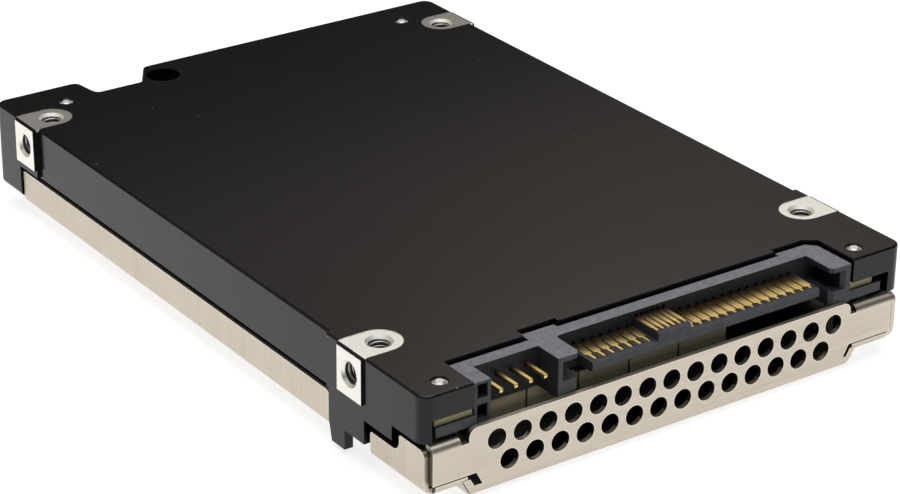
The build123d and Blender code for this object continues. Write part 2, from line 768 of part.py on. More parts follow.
# Moulded plug with end guides, tongue and key block, and the jumper box beside it
with BuildPart() as connector_housing:
    # Bars behind the plug and behind the jumper box
    with BuildSketch(Plane.XY.offset(housing_bottom)):
        Polygon(*plug_outline(0), align=None)
        between(guide_left, front - overall_height, guide_right + sheet, cavity_back, Mode.SUBTRACT)
        between(jumper_box_left - sheet, front - overall_height, guide_left, jumper_back, Mode.SUBTRACT)
    extrude(amount=housing_top - housing_bottom)
    # End guides, open towards the tongue
    with BuildSketch(facing_front(cavity_back)):
        between(guide_left, housing_bottom, guide_left + guide_roof_width, housing_top)
        between(
            guide_left + guide_wall_left,
            channel_floor,
            guide_left + guide_roof_width,
            roof_under,
            Mode.SUBTRACT,
        )
        between(guide_right - guide_roof_width, housing_bottom, guide_right, housing_top)
        between(
            guide_right - guide_roof_width,
            channel_floor,
            guide_right - guide_wall_right,
            roof_under,
            Mode.SUBTRACT,
        )
    extrude(amount=cavity_depth)
    tip_edges = connector_housing.edges().filter_by(Axis.Z).group_by(Axis.Y)[0].filter_by(
        lambda edge: guide_left + guide_wall_left < edge.center().X < guide_right - guide_wall_right
    )
    chamfer(tip_edges, length=guide_tip_chamfer)
    roof_corner = (guide_left + guide_roof_width, cavity_back)
    roof_edge = edges_at(connector_housing, Axis.Z, [roof_corner]).sort_by(Axis.Z)[-1]
    fillet(roof_edge, radius=guide_corner_radius)
    # Tongue and key block, bevelled at the front
    with BuildSketch(facing_front(cavity_back)):
        between(connector_mid - tongue_half, tongue_under, connector_mid + tongue_half, tongue_top)
        between(connector_mid + key_left_offset, tongue_under, connector_mid + key_right_offset, key_top)
    extrude(amount=cavity_depth)
    tongue_edges = connector_housing.edges(Select.LAST).filter_by(Axis.X).group_by(Axis.Y)[0]
    chamfer(tongue_edges, length=tongue_chamfer)
    # Left cheek of the jumper box with its two windows
    with BuildSketch(Plane.XY.offset(housing_bottom)):
        between(jumper_box_left, jumper_front, jumper_box_left + jumper_cheek, jumper_back)
    extrude(amount=housing_top - housing_bottom)
    with BuildSketch(facing_front(jumper_front)):
        for step in range(2):
            window_top = housing_top - jumper_window_drop - step * jumper_window_pitch
            with Locations((jumper_box_left + jumper_cheek / 2, window_top - jumper_window_height / 2)):
                Rectangle(jumper_window_width, jumper_window_height)
    extrude(amount=-jumper_window_depth, mode=Mode.SUBTRACT)
    # Wings under the board, with legs that the front screws pass through
    with BuildSketch(Plane.XY.offset(wing_under)):
        left_end = max(jumper_box_left, screw_left + leg_radius)
        right_end = min(guide_right - guide_wall_right, screw_right - leg_radius)
        between(wing_left, plug_front, left_end, plug_front + wing_depth)
        between(right_end, plug_front, wing_right, plug_front + wing_depth)
    extrude(amount=wing_thickness)
    with BuildSketch(Plane.XY.offset(shoulder_top)):
        with Locations(*front_screws):
            Circle(leg_radius)
    extrude(amount=wing_under - shoulder_top)
    with BuildSketch(Plane.XY.offset(shoulder_top)):
        with Locations(*front_screws):
            Circle(screw_radius + screw_clearance)
    extrude(amount=main_board_under - shoulder_top, mode=Mode.SUBTRACT)
    # Channels that the contacts lie in, then the slots for their necks and for the pins
    with BuildSketch(facing_front(cavity_back)):
        for places, width, prong, surface in upper_rows.values():
            with Locations(*[(place, surface - contact_sink / 2) for place in places]):
                Rectangle(width + 2 * contact_channel_gap, contact_sink)
    extrude(amount=cavity_back - tip + contact_channel_gap, mode=Mode.SUBTRACT)
    with BuildSketch(facing_front(guide_rear)):
        for places, width, prong, surface in upper_rows.values():
            for place in places:
                half_slot = contact_neck / 2 + contact_slot_gap
                slot_top = surface + contact_slot_height
                between(place - half_slot, surface - contact_sink, place + half_slot, slot_top)
        for place in second_places:
            half_slot = key_contact_width / 2 + contact_slot_gap
            slot_low = tongue_under - contact_thickness - contact_slot_gap
            between(place - half_slot, slot_low, place + half_slot, tongue_under)
    extrude(amount=guide_rear - cavity_back, mode=Mode.SUBTRACT)
    with BuildSketch(facing_front(jumper_rear)):
        with Locations(*[(place, pin_low + pin_side / 2) for place in pin_places]):
            Rectangle(pin_side + 2 * contact_slot_gap, pin_side + 2 * contact_slot_gap)
    extrude(amount=jumper_bar, mode=Mode.SUBTRACT)
finish(connector_housing, "connector_housing")


# Contacts on the tongue and the key block, with tails down to the main board
for row_name, (places, width, prong, surface) in upper_rows.items():
    base = surface - contact_sink
    with BuildPart() as contacts:
        with BuildSketch(Plane.XY.offset(base)):
            with Locations(*[(place, 0) for place in places]):
                Polygon(*contact_outline(width, prong), align=None)
        extrude(amount=contact_thickness)
        chamfer(
            contacts.faces().group_by(Axis.Y)[0].edges().group_by(Axis.Z)[-1],
            length=contact_tip_chamfer,
        )
        for place in places:
            with BuildSketch(Plane.YZ.offset(place - contact_neck / 2)):
                Polygon(
                    (bend, base),
                    (foot, main_board_top),
                    (foot + contact_tail, main_board_top),
                    (foot + contact_tail, main_board_top + contact_thickness),
                    (foot + contact_thickness, main_board_top + contact_thickness),
                    (bend + contact_thickness, base + contact_thickness),
                    (bend, base + contact_thickness),
                    align=None,
                )
            extrude(amount=contact_neck)
    finish(contacts, row_name)

# Contacts of the second port, under the tongue
with BuildPart() as second_port_contacts:
    for place in second_places:
        with BuildSketch(Plane.YZ.offset(place - key_contact_width / 2)):
            Polygon(
                (tip, tongue_under),
                (bar_rear + contact_slot_gap, tongue_under),
                (board_front - contact_slot_gap, main_board_under),
                (foot + contact_tail, main_board_under),
                (foot + contact_tail, main_board_under - contact_thickness),
                (board_front - contact_slot_gap - contact_thickness, main_board_under - contact_thickness),
                (bar_rear, tongue_under - contact_thickness),
                (tip + contact_thickness, tongue_under - contact_thickness),
                align=None,
            )
        extrude(amount=key_contact_width)
finish(second_port_contacts, "second_port_contacts")

# Square pins of the jumper box, bent down to the main board
with BuildPart() as jumper_pins:
    for place in pin_places:
        with BuildSketch(Plane.YZ.offset(place - pin_side / 2)):
            Polygon(
                (plug_front, pin_low),
                (board_front + pin_tail, pin_low),
                (board_front + pin_tail, main_board_top),
                (board_front + pin_tail + pin_side, main_board_top),
                (board_front + pin_tail + pin_side, pin_low + pin_side),
                (plug_front, pin_low + pin_side),
                align=None,
            )
        extrude(amount=pin_side)
    chamfer(jumper_pins.faces().group_by(Axis.Y)[0].edges(), length=pin_tip_chamfer)
finish(jumper_pins, "jumper_pins")


# Main board: ears beside the plug, notches round the bosses
ear_half = casting_inner - main_board_side_gap
board_half = pocket_half - main_board_side_gap
board_ear_front = casting_front + board_ear_inset
boss_inner = casting_inner - boss_length
with BuildPart() as main_board:
    with BuildSketch(Plane.XY.offset(main_board_under)):
        between(-ear_half, board_ear_front, ear_half, mount_rows[0])
        between(-board_half, mount_rows[0], board_half, main_board_rear)
        between(
            jumper_box_left - connector_gap,
            front,
            guide_right + connector_gap,
            board_front,
            Mode.SUBTRACT,
        )
        between(board_ear_right, front, half_width, plug_front + wing_depth, Mode.SUBTRACT)
        for side in (-1, 1):
            with Locations((side * half_width, mount_rows[0])):
                Rectangle(
                    2 * (half_width - boss_inner + board_notch_gap),
                    boss_width + 2 * board_notch_gap,
                    mode=Mode.SUBTRACT,
                )
        with Locations(*front_screws):
            Circle(screw_radius + screw_clearance, mode=Mode.SUBTRACT)
        with Locations(*standoff_points):
            Circle(standoff_stud_radius + screw_clearance, mode=Mode.SUBTRACT)
    extrude(amount=main_board_thickness)
finish(main_board, "main_board")

# Second board, in the space over the plateau
with BuildPart() as second_board:
    with BuildSketch(Plane.XY.offset(second_board_under)):
        between(
            cover_mid - second_half,
            front + second_board_front_inset,
            cover_mid + second_half,
            second_board_rear,
        )
        with Locations(*standoff_points):
            Circle(board_screw_radius + screw_clearance, mode=Mode.SUBTRACT)
    extrude(amount=second_board_thickness)
finish(second_board, "second_board")

# Hexagonal standoffs between the boards, with studs up into the casting
with BuildPart() as standoffs:
    with BuildSketch(Plane.XY.offset(second_board_top)):
        with Locations(*standoff_points):
            RegularPolygon(standoff_across_flats / 2, 6, major_radius=False)
    extrude(amount=main_board_under - second_board_top)
    with BuildSketch(Plane.XY.offset(main_board_under)):
        with Locations(*standoff_points):
            Circle(standoff_stud_radius)
    extrude(amount=standoff_stud_length)
    with BuildSketch(Plane.XY.offset(second_board_top)):
        with Locations(*standoff_points):
            Circle(board_screw_radius + screw_hole_gap)
    extrude(amount=standoff_bore_depth, mode=Mode.SUBTRACT)
finish(standoffs, "standoffs")

# Screws that hold the second board to the standoffs
with BuildPart() as board_screws:
    with BuildSketch(Plane.XY.offset(second_board_under - board_screw_head_height)):
        with Locations(*standoff_points):
            Circle(board_screw_head_radius)
    extrude(amount=board_screw_head_height)
    with BuildSketch(Plane.XY.offset(second_board_under)):
        with Locations(*standoff_points):
            Circle(board_screw_radius)
    extrude(amount=second_board_thickness + board_screw_length)
finish(board_screws, "board_screws")

# Cover screws: heads under the shoulder, tips showing in the top face
with BuildPart() as cover_screws:
    with BuildSketch(Plane.XY.offset(shoulder_height)):
        with Locations(*front_screws, *rear_screws):
            Circle(screw_radius)
    extrude(amount=overall_height - screw_tip_below - shoulder_height)
    chamfer(cover_screws.faces().group_by(Axis.Z)[-1].edges(), length=screw_tip_chamfer)
    with BuildSketch(Plane.XY.offset(shoulder_height)):
        with Locations(*front_screws, *rear_screws):
            Circle(screw_head_radius)
    extrude(amount=-screw_head_height)
    with BuildSketch(Plane.XY.offset(shoulder_height - screw_head_height)):
        with Locations(*front_screws, *rear_screws):
            Rectangle(screw_slot_length, screw_slot_width)
            Rectangle(screw_slot_width, screw_slot_length)
    extrude(amount=screw_slot_depth, mode=Mode.SUBTRACT)
finish(cover_screws, "cover_screws")


def flash_places(mid, half, front_limit):
    """Centres of as many rows and columns of flash packages as a board takes behind a limit."""
    start = front_limit + flash_gap + flash_length / 2
    free_length = standoff_rows[1] - standoff_post_radius - front_limit - flash_gap
    row_count = int(free_length // flash_row_pitch)
    column_count = int((2 * half - flash_width) // flash_column_pitch) + 1
    first_column = mid - (column_count - 1) / 2 * flash_column_pitch
    return [
        (first_column + column * flash_column_pitch, start + row * flash_row_pitch)
        for column in range(column_count)
        for row in range(row_count)
    ]


# Places of the packages
controller_point = (controller_x, casting_front + controller_setback)
memory_points = [(memory_x, casting_front + memory_setback + index * memory_pitch) for index in range(2)]
main_flash_points = flash_places(0, board_half, memory_points[-1][1] + memory_length / 2)
inductor_front = casting_front + plug_setback + plug_width / 2 + inductor_gap + inductor_side / 2
inductor_rows = [inductor_front + index * inductor_pitch for index in range(2)]
second_flash_points = flash_places(cover_mid, second_half, inductor_rows[-1] + inductor_side / 2)
plug_point = (0, casting_front + plug_setback)

# Controller on the main board
with BuildPart() as controller_chip:
    with BuildSketch(Plane.XY.offset(main_board_top)):
        with Locations(controller_point):
            Rectangle(controller_side, controller_side)
    extrude(amount=controller_height)
finish(controller_chip, "controller_chip")

# Memory chips beside the controller
with BuildPart() as memory_chips:
    with BuildSketch(Plane.XY.offset(main_board_top)):
        with Locations(*memory_points):
            Rectangle(memory_width, memory_length)
    extrude(amount=memory_height)
finish(memory_chips, "memory_chips")

# Flash packages, on both faces of each board
for flash_name, flash_points, board_levels in (
    ("main_flash_packages", main_flash_points, (main_board_top, main_board_under - flash_height)),
    ("second_flash_packages", second_flash_points, (second_board_top, second_board_under - flash_height)),
):
    with BuildPart() as flash_packages:
        for level in board_levels:
            with BuildSketch(Plane.XY.offset(level)):
                with Locations(*flash_points):
                    Rectangle(flash_width, flash_length)
            extrude(amount=flash_height)
    finish(flash_packages, flash_name)

# Thermal pads between the packages and the plate above them
with BuildPart() as base_thermal_pads:
    with BuildSketch(Plane.XY.offset(main_board_top + controller_height)):
        with Locations(controller_point):
            Rectangle(controller_side, controller_side)
    extrude(amount=plate_under - main_board_top - controller_height)
    with BuildSketch(Plane.XY.offset(main_board_top + flash_height)):
        with Locations(*main_flash_points):
            Rectangle(flash_width, flash_length)
    extrude(amount=plate_under - main_board_top - flash_height)
finish(base_thermal_pads, "base_thermal_pads")

# Thermal pads between the second board's lower packages and the plateau
with BuildPart() as cover_thermal_pads:
    with BuildSketch(Plane.XY.offset(plateau_top)):
        with Locations(*second_flash_points):
            Rectangle(flash_width, flash_length)
    extrude(amount=second_pad_thickness)
finish(cover_thermal_pads, "cover_thermal_pads")

# Board-to-board connector: a receptacle under the main board takes a plug on the second board
plug_split = second_board_top + (main_board_under - second_board_top) / 2
recess_wall = plug_wall - contact_slot_gap
with BuildPart() as board_plug:
    with BuildSketch(Plane.XY.offset(second_board_top)):
        with Locations(plug_point):
            Rectangle(plug_length, plug_width)
    extrude(amount=plug_split - second_board_top)
    with BuildSketch(Plane.XY.offset(plug_split)):
        with Locations(plug_point):
            Rectangle(plug_length - 2 * plug_wall, plug_width - 2 * plug_wall)
    extrude(amount=plug_lip)
finish(board_plug, "board_plug")

with BuildPart() as board_receptacle:
    with BuildSketch(Plane.XY.offset(plug_split)):
        with Locations(plug_point):
            Rectangle(plug_length, plug_width)
    extrude(amount=main_board_under - plug_split)
    with BuildSketch(Plane.XY.offset(plug_split)):
        with Locations(plug_point):
            Rectangle(plug_length - 2 * recess_wall, plug_width - 2 * recess_wall)
    extrude(amount=plug_lip + contact_slot_gap, mode=Mode.SUBTRACT)
finish(board_receptacle, "board_receptacle")

# Inductors of the power supply, on the second board
with BuildPart() as power_inductors:
    with BuildSketch(Plane.XY.offset(second_board_top)):
        for row in inductor_rows:
            with Locations((cover_mid + second_half - inductor_edge_inset, row)):
                RectangleRounded(inductor_side, inductor_side, inductor_side / 5)
    extrude(amount=inductor_height)
finish(power_inductors, "power_inductors")

# Hold-up capacitors in a row behind the front wall
with BuildPart() as hold_up_capacitors:
    with BuildSketch(Plane.XY.offset(second_board_top)):
        for index in range(capacitor_count):
            place_x = cover_mid - second_half + capacitor_first_offset + index * capacitor_pitch
            with Locations((place_x, front + capacitor_setback + capacitor_width / 2)):
                Rectangle(capacitor_length, capacitor_width)
    extrude(amount=housing_bottom - capacitor_gap - second_board_top)
finish(hold_up_capacitors, "hold_up_capacitors")
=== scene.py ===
import json
import logging
import math
from dataclasses import dataclass
from enum import Enum
from typing import Any

import bpy
from mathutils import Matrix, Vector


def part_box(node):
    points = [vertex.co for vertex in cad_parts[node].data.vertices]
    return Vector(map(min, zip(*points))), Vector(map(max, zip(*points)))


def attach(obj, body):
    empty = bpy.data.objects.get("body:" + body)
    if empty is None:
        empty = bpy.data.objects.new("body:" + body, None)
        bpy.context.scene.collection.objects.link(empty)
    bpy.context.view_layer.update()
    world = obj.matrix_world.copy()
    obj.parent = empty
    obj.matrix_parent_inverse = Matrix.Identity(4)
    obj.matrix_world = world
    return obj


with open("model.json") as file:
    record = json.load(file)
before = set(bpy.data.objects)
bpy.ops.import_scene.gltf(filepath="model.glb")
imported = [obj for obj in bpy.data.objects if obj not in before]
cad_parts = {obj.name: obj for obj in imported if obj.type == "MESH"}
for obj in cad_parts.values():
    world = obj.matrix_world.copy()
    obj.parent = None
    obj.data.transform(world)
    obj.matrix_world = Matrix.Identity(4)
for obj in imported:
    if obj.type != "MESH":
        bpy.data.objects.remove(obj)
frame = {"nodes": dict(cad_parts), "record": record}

LOG = logging.getLogger("drive")
MM = 0.001
BODY = "root"
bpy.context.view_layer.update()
IMAGE_WIDTH = 900
SENSOR_WIDTH = 36.0
# Values between which nearly all of a noise texture lies.
NOISE_LOW = 0.3
NOISE_HIGH = 0.7
# Match of the rounded normal with the true one at which the painted edge highlight starts and is full.
EDGE_START = 0.985
EDGE_FULL = 0.85
EDGE_SAMPLES = 6
# Steps in one turn of a thread, and sides of its ridge.
TURN_STEPS = 24
RIDGE_SIDES = 4

Node = bpy.types.Node
NodeSocket = bpy.types.NodeSocket
NodeTree = bpy.types.NodeTree
Material = bpy.types.Material
BlenderObject = bpy.types.Object
# A socket, or a node that stands for its first output in use.
Source = Node | NodeSocket
Point = tuple[float, float, float]


class Limit(Enum):
    """The side of a limit on which a value lies."""

    BELOW = "LESS_THAN"
    ABOVE = "GREATER_THAN"


class HoleFace(Enum):
    """Which way a threaded hole opens, as a turn of a thread that runs up Z."""

    TOP = (0.0, 0.0, 0.0)
    LEFT = (0.0, -math.pi / 2, 0.0)
    RIGHT = (0.0, math.pi / 2, 0.0)


class LampShape(Enum):
    """Outline of a soft lamp."""

    ROUND = "DISK"
    OBLONG = "RECTANGLE"


def linear(colour: str) -> tuple[float, float, float, float]:
    """Turn an sRGB hex colour into linear values.

    Args:
        colour: Six hex digits after a hash sign.

    Returns:
        Red, green, blue and an alpha of one.
    """
    values = []
    for start in (1, 3, 5):
        part = int(colour[start:start + 2], 16) / 255
        values.append(part / 12.92 if part <= 0.04045 else ((part + 0.055) / 1.055) ** 2.4)
    return (values[0], values[1], values[2], 1.0)


def add_node(tree: NodeTree, kind: str, inputs: dict[Any, Any] | None = None, **settings: Any) -> Any:
    """Add one node with its settings, values and links.

    Args:
        tree: The tree that takes the node.
        kind: Blender's name for the node's type.
        inputs: Socket name or number to a value, or to the socket or node that feeds it.
        **settings: Properties of the node itself.

    Returns:
        The new node.
    """
    node = tree.nodes.new(kind)
    for name, value in settings.items():
        setattr(node, name, value)
    for key, value in (inputs or {}).items():
        if isinstance(value, Node):
            value = next(socket for socket in value.outputs if socket.enabled)
        if isinstance(value, NodeSocket):
            tree.links.new(value, node.inputs[key])
        else:
            node.inputs[key].default_value = value
    return node


def new_object(name: str, mesh: bpy.types.Mesh) -> BlenderObject:
    """Link a mesh to the scene as an object at the origin.

    Args:
        name: Name of the object.
        mesh: Its mesh.

    Returns:
        The new object.
    """
    made = bpy.data.objects.new(name, mesh)
    bpy.context.scene.collection.objects.link(made)
    return made


def per_metre(size_mm: float) -> float:
    """Texture scale at which one feature of a pattern measures a size in millimetres."""
    return 1 / (size_mm * MM)


def mount(name: str) -> dict[str, Any]:
    """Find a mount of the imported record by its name."""
    return next(entry for entry in frame["record"]["mounts"] if entry["name"] == name)


def face_axes(tree: NodeTree) -> Node:
    """Split the true normal of a face into its parts along the axes."""
    normal = add_node(tree, "ShaderNodeNewGeometry").outputs["True Normal"]
    return add_node(tree, "ShaderNodeSeparateXYZ", {"Vector": normal})


def diagonal(tree: NodeTree, first: Source, second: Source) -> NodeSocket:
    """Measure the straight distance that two offsets at right angles make."""
    joined = add_node(tree, "ShaderNodeCombineXYZ", {"X": first, "Y": second})
    return add_node(tree, "ShaderNodeVectorMath", {0: joined}, operation="LENGTH").outputs["Value"]


def mask_all(tree: NodeTree, limits: list[tuple[Source, Limit, float]]) -> Node:
    """Mask the places at which every one of some limits holds.

    Args:
        tree: The material's tree.
        limits: Each a value, the side of its limit on which it lies, and the limit.

    Returns:
        A mask that is one there and zero elsewhere.
    """
    mask: Any = 1.0
    for value, side, limit in limits:
        holds = add_node(tree, "ShaderNodeMath", {0: value, 1: limit}, operation=side.value)
        mask = add_node(tree, "ShaderNodeMath", {0: holds, 1: mask}, operation="MULTIPLY")
    return mask


def mask_any(tree: NodeTree, masks: list[Node]) -> Node:
    """Join masks into one.

    Args:
        tree: The material's tree.
        masks: The masks to join.

    Returns:
        A mask that is one where any of them is.
    """
    joined = masks[0]
    for mask in masks[1:]:
        joined = add_node(tree, "ShaderNodeMath", {0: joined, 1: mask}, operation="MAXIMUM")
    return joined


def edge_mask(tree: NodeTree, reach_mm: float, share: float) -> Node:
    """Find the edges and folds of a piece, where a painted highlight goes.

    Args:
        tree: The material's tree.
        reach_mm: How far the painted highlight reaches from the edge.
        share: Value of the mask on the edge itself.

    Returns:
        A mask that is zero on the flats.
    """
    rounded = add_node(tree, "ShaderNodeBevel", {"Radius": reach_mm * MM}, samples=EDGE_SAMPLES)
    normal = add_node(tree, "ShaderNodeNewGeometry").outputs["True Normal"]
    match = add_node(tree, "ShaderNodeVectorMath", {0: rounded, 1: normal}, operation="DOT_PRODUCT")
    return add_node(
        tree,
        "ShaderNodeMapRange",
        {"Value": match.outputs["Value"], "From Min": EDGE_START, "From Max": EDGE_FULL, "To Max": share},
    )


@dataclass(frozen=True)
class Finish:
    """A procedural material: a base colour that drifts, with fine relief over it."""

    name: str
    colour: str
    drift_colour: str
    roughness: float
    metallic: float = 0.0
    roughness_swing: float = 0.06
    drift_mm: float = 6.0
    drift_detail: float = 3.0
    grain_mm: float = 0.2
    grain_detail: float = 4.0
    relief: float = 0.05
    specular: float = 0.5

    def build(self) -> Material:
        """Make the material.

        Returns:
            A new material with its node tree.
        """
        material = bpy.data.materials.new(self.name)
        material.use_nodes = True
        tree = material.node_tree
        tree.nodes.clear()
        place = add_node(tree, "ShaderNodeTexCoord").outputs["Object"]
        grain = self.grain_height(tree, place)
        colour = self.surface_colour(tree, place, grain)
        shader = self.gloss(tree, colour, grain)
        add_node(tree, "ShaderNodeOutputMaterial", {"Surface": self.layers(tree, place, shader)})
        return material

    def surface_colour(self, tree: NodeTree, place: NodeSocket, grain: NodeSocket) -> Source:
        """Colour that drifts slowly between the finish's two tones.

        Args:
            tree: The material's tree.
            place: Object coordinates.
            grain: Height of the grain, for a finish whose colour follows it.

        Returns:
            The colour.
        """
        drift = add_node(
            tree,
            "ShaderNodeTexNoise",
            {"Vector": place, "Scale": per_metre(self.drift_mm), "Detail": self.drift_detail},
        )
        tones = {"Factor": drift.outputs["Fac"], "A": linear(self.colour), "B": linear(self.drift_colour)}
        return add_node(tree, "ShaderNodeMix", tones, data_type="RGBA")

    def grain_height(self, tree: NodeTree, place: NodeSocket) -> NodeSocket:
        """Height of the fine grain.

        Args:
            tree: The material's tree.
            place: Object coordinates.

        Returns:
            The height, about one half on average.
        """
        grain = add_node(
            tree,
            "ShaderNodeTexNoise",
            {"Vector": place, "Scale": per_metre(self.grain_mm), "Detail": self.grain_detail},
        )
        return grain.outputs["Fac"]

    def gloss(self, tree: NodeTree, colour: Source, grain: NodeSocket) -> Source:
        """Principled shader with the finish's gloss, relief and colour.

        Args:
            tree: The material's tree.
            colour: Base colour.
            grain: Height of the grain.

        Returns:
            The shader.
        """
        rough = add_node(
            tree,
            "ShaderNodeMapRange",
            {
                "Value": grain,
                "From Min": NOISE_LOW,
                "From Max": NOISE_HIGH,
                "To Min": self.roughness - self.roughness_swing,
                "To Max": self.roughness + self.roughness_swing,
            },
        )
        bump = add_node(
            tree,
            "ShaderNodeBump",
            {"Height": grain, "Strength": self.relief, "Distance": self.grain_mm * MM},
        )
        return add_node(
            tree,
            "ShaderNodeBsdfPrincipled",
            {
                "Base Color": colour,
                "Metallic": self.metallic,
                "Roughness": rough,
                "Normal": bump,
                "Specular IOR Level": self.specular,
            },
        )

    def layers(self, tree: NodeTree, place: NodeSocket, shader: Source) -> Source:
        """The shader that reaches the output, which a finish in two layers mixes here."""
        return shader


@dataclass(frozen=True)
class PaintOnCasting(Finish):
    """Baked black paint over die-cast aluminium, milled away on the mounting pads and in their holes.

    The flats of the rear pads are darker than those of the front ones, by painted shade.
    """

    metal_colour: str = "#fcfaf2"
    # Painted shade on the flats of the rear pads.
    rear_pad_shade_colour: str = "#a9a6a0"
    # Painted shade in the bores of the threaded holes.
    bore_shade_colour: str = "#6d6a64"
    metal_roughness: float = 0.48
    top_pad_roughness: float = 0.85
    # Upward parts of a normal past which a milled face turns rough, and counts as flat.
    rough_rise: float = 0.4
    flat_rise: float = 0.95
    mill_mark_mm: float = 0.16
    mill_bend: float = 2.0
    mill_relief: float = 0.06
    pad_radius_mm: float = 2.7
    pad_half_width_mm: float = 2.42
    pad_depth_mm: float = 0.03
    paint_edge_mm: float = 0.42
    sink_radius_mm: float = 1.85
    hole_reach_mm: float = 5.0
    bore_radius_mm: float = 1.32
    # Painted highlight of the rounded edges, laid on in patches.
    edge_highlight_colour: str = "#4c4b4d"
    edge_highlight_mm: float = 0.25
    edge_highlight_share: float = 0.7
    edge_highlight_patch_mm: float = 3.0
    # Specks of dust, drawn coarse enough to show.
    speck_colour: str = "#5a5a5c"
    speck_mm: float = 0.13
    speck_spacing_mm: float = 4.8
    # Centres and radii of the chips in the paint.
    chips_mm: tuple[tuple[Point, float], ...] = (
        ((-30.09, -49.2, 13.93), 0.06),
        ((-34.42, -38.05, 13.93), 0.12),
        ((-34.6, -30.74, 13.57), 0.06),
    )

    def surface_colour(self, tree: NodeTree, place: NodeSocket, grain: NodeSocket) -> Source:
        """Paint colour with a painted highlight in patches along the edges, and a few specks of dust caught
        in it.

        Args:
            tree: The material's tree.
            place: Object coordinates.
            grain: Height of the grain.

        Returns:
            The colour.
        """
        fresh = Finish.surface_colour(self, tree, place, grain)
        patches = add_node(
            tree,
            "ShaderNodeTexNoise",
            {"Vector": place, "Scale": per_metre(self.edge_highlight_patch_mm), "Detail": self.drift_detail},
        )
        # Painted highlight in patches along the edges.
        patchy_edge_highlight = add_node(
            tree,
            "ShaderNodeMath",
            {0: patches.outputs["Fac"], 1: edge_mask(tree, self.edge_highlight_mm, self.edge_highlight_share)},
            operation="MULTIPLY",
        )
        tones = {"Factor": patchy_edge_highlight, "A": fresh, "B": linear(self.edge_highlight_colour)}
        paint = add_node(tree, "ShaderNodeMix", tones, data_type="RGBA")
        cells = add_node(
            tree,
            "ShaderNodeTexVoronoi",
            {"Vector": place, "Scale": per_metre(self.speck_spacing_mm)},
        )
        speck_size = self.speck_mm / self.speck_spacing_mm
        is_speck = mask_all(tree, [(cells.outputs["Distance"], Limit.BELOW, speck_size)])
        tones = {"Factor": is_speck, "A": paint, "B": linear(self.speck_colour)}
        return add_node(tree, "ShaderNodeMix", tones, data_type="RGBA")

    def layers(self, tree: NodeTree, place: NodeSocket, shader: Source) -> Source:
        """Paint everywhere but on the milled pads, where the bare metal shows.

        Args:
            tree: The material's tree.
            place: Object coordinates.
            shader: The paint.

        Returns:
            The two layers as one shader.
        """
        bare, bore = self.bare_masks(tree, place)
        metal = self.bare_metal(tree, place, bore)
        return add_node(tree, "ShaderNodeMixShader", {0: bare, 1: shader, 2: metal})

    def bare_metal(self, tree: NodeTree, place: NodeSocket, bore: Source) -> Source:
        """Milled aluminium, darkened by painted shade on the rear flats and in the bores.

        Args:
            tree: The material's tree.
            place: Object coordinates.
            bore: Mask of the bores.

        Returns:
            The shader.
        """
        marks = add_node(
            tree,
            "ShaderNodeTexWave",
            {"Vector": place, "Scale": per_metre(self.mill_mark_mm), "Distortion": self.mill_bend},
            bands_direction="DIAGONAL",
        )
        bump = add_node(
            tree,
            "ShaderNodeBump",
            {
                "Height": marks.outputs["Fac"],
                "Strength": self.mill_relief,
                "Distance": self.mill_mark_mm * MM,
            },
        )
        facing = face_axes(tree)
        axes = add_node(tree, "ShaderNodeSeparateXYZ", {"Vector": place})
        low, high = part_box("base_casting")
        to_rear = add_node(
            tree,
            "ShaderNodeMapRange",
            {"Value": axes.outputs["Y"], "From Min": low.y / 2, "From Max": high.y / 2},
        )
        is_flat = mask_all(tree, [(facing.outputs["Z"], Limit.ABOVE, self.flat_rise)])
        # Painted shade: the level flats darken towards the rear.
        rear_pad_shade = add_node(tree, "ShaderNodeMath", {0: to_rear, 1: is_flat}, operation="MULTIPLY")
        tones = {"Factor": rear_pad_shade, "A": linear(self.metal_colour), "B": linear(self.rear_pad_shade_colour)}
        milled = add_node(tree, "ShaderNodeMix", tones, data_type="RGBA")
        # Painted shade in the bores.
        tones = {"Factor": bore, "A": milled, "B": linear(self.bore_shade_colour)}
        tone = add_node(tree, "ShaderNodeMix", tones, data_type="RGBA")
        rough = add_node(
            tree,
            "ShaderNodeMapRange",
            {
                "Value": facing.outputs["Z"],
                "From Min": self.rough_rise,
                "To Min": self.metal_roughness,
                "To Max": self.top_pad_roughness,
            },
        )
        return add_node(
            tree,
            "ShaderNodeBsdfPrincipled",
            {"Base Color": tone, "Metallic": 1.0, "Roughness": rough, "Normal": bump},
        )

    def bare_masks(self, tree: NodeTree, place: NodeSocket) -> tuple[Node, Node]:
        """Find where the paint is missing.

        Args:
            tree: The material's tree.
            place: Object coordinates.

        Returns:
            A mask of all bare metal, and one of the bores of the threaded holes.
        """
        face = mount("face_holes")
        half_x = face["dims"]["spacing_x_mm"] / 2 * MM
        half_y = face["dims"]["spacing_y_mm"] / 2 * MM
        middle = face["pos_m"][1]
        side_height = mount("left_side_holes")["pos_m"][2]
        _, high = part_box("base_casting")

        axes = add_node(tree, "ShaderNodeSeparateXYZ", {"Vector": place})
        height = axes.outputs["Z"]
        out = add_node(tree, "ShaderNodeMath", {0: axes.outputs["X"]}, operation="ABSOLUTE")
        across = add_node(tree, "ShaderNodeMath", {0: out, 1: half_x}, operation="SUBTRACT")
        inward = add_node(tree, "ShaderNodeMath", {0: across, 1: 0.0}, operation="MINIMUM")
        centred = add_node(tree, "ShaderNodeMath", {0: axes.outputs["Y"], 1: middle}, operation="SUBTRACT")
        from_middle = add_node(tree, "ShaderNodeMath", {0: centred}, operation="ABSOLUTE")
        past_row = add_node(tree, "ShaderNodeMath", {0: from_middle, 1: half_y}, operation="SUBTRACT")
        along = add_node(tree, "ShaderNodeMath", {0: past_row}, operation="ABSOLUTE")
        rise = add_node(tree, "ShaderNodeMath", {0: height, 1: side_height}, operation="SUBTRACT")

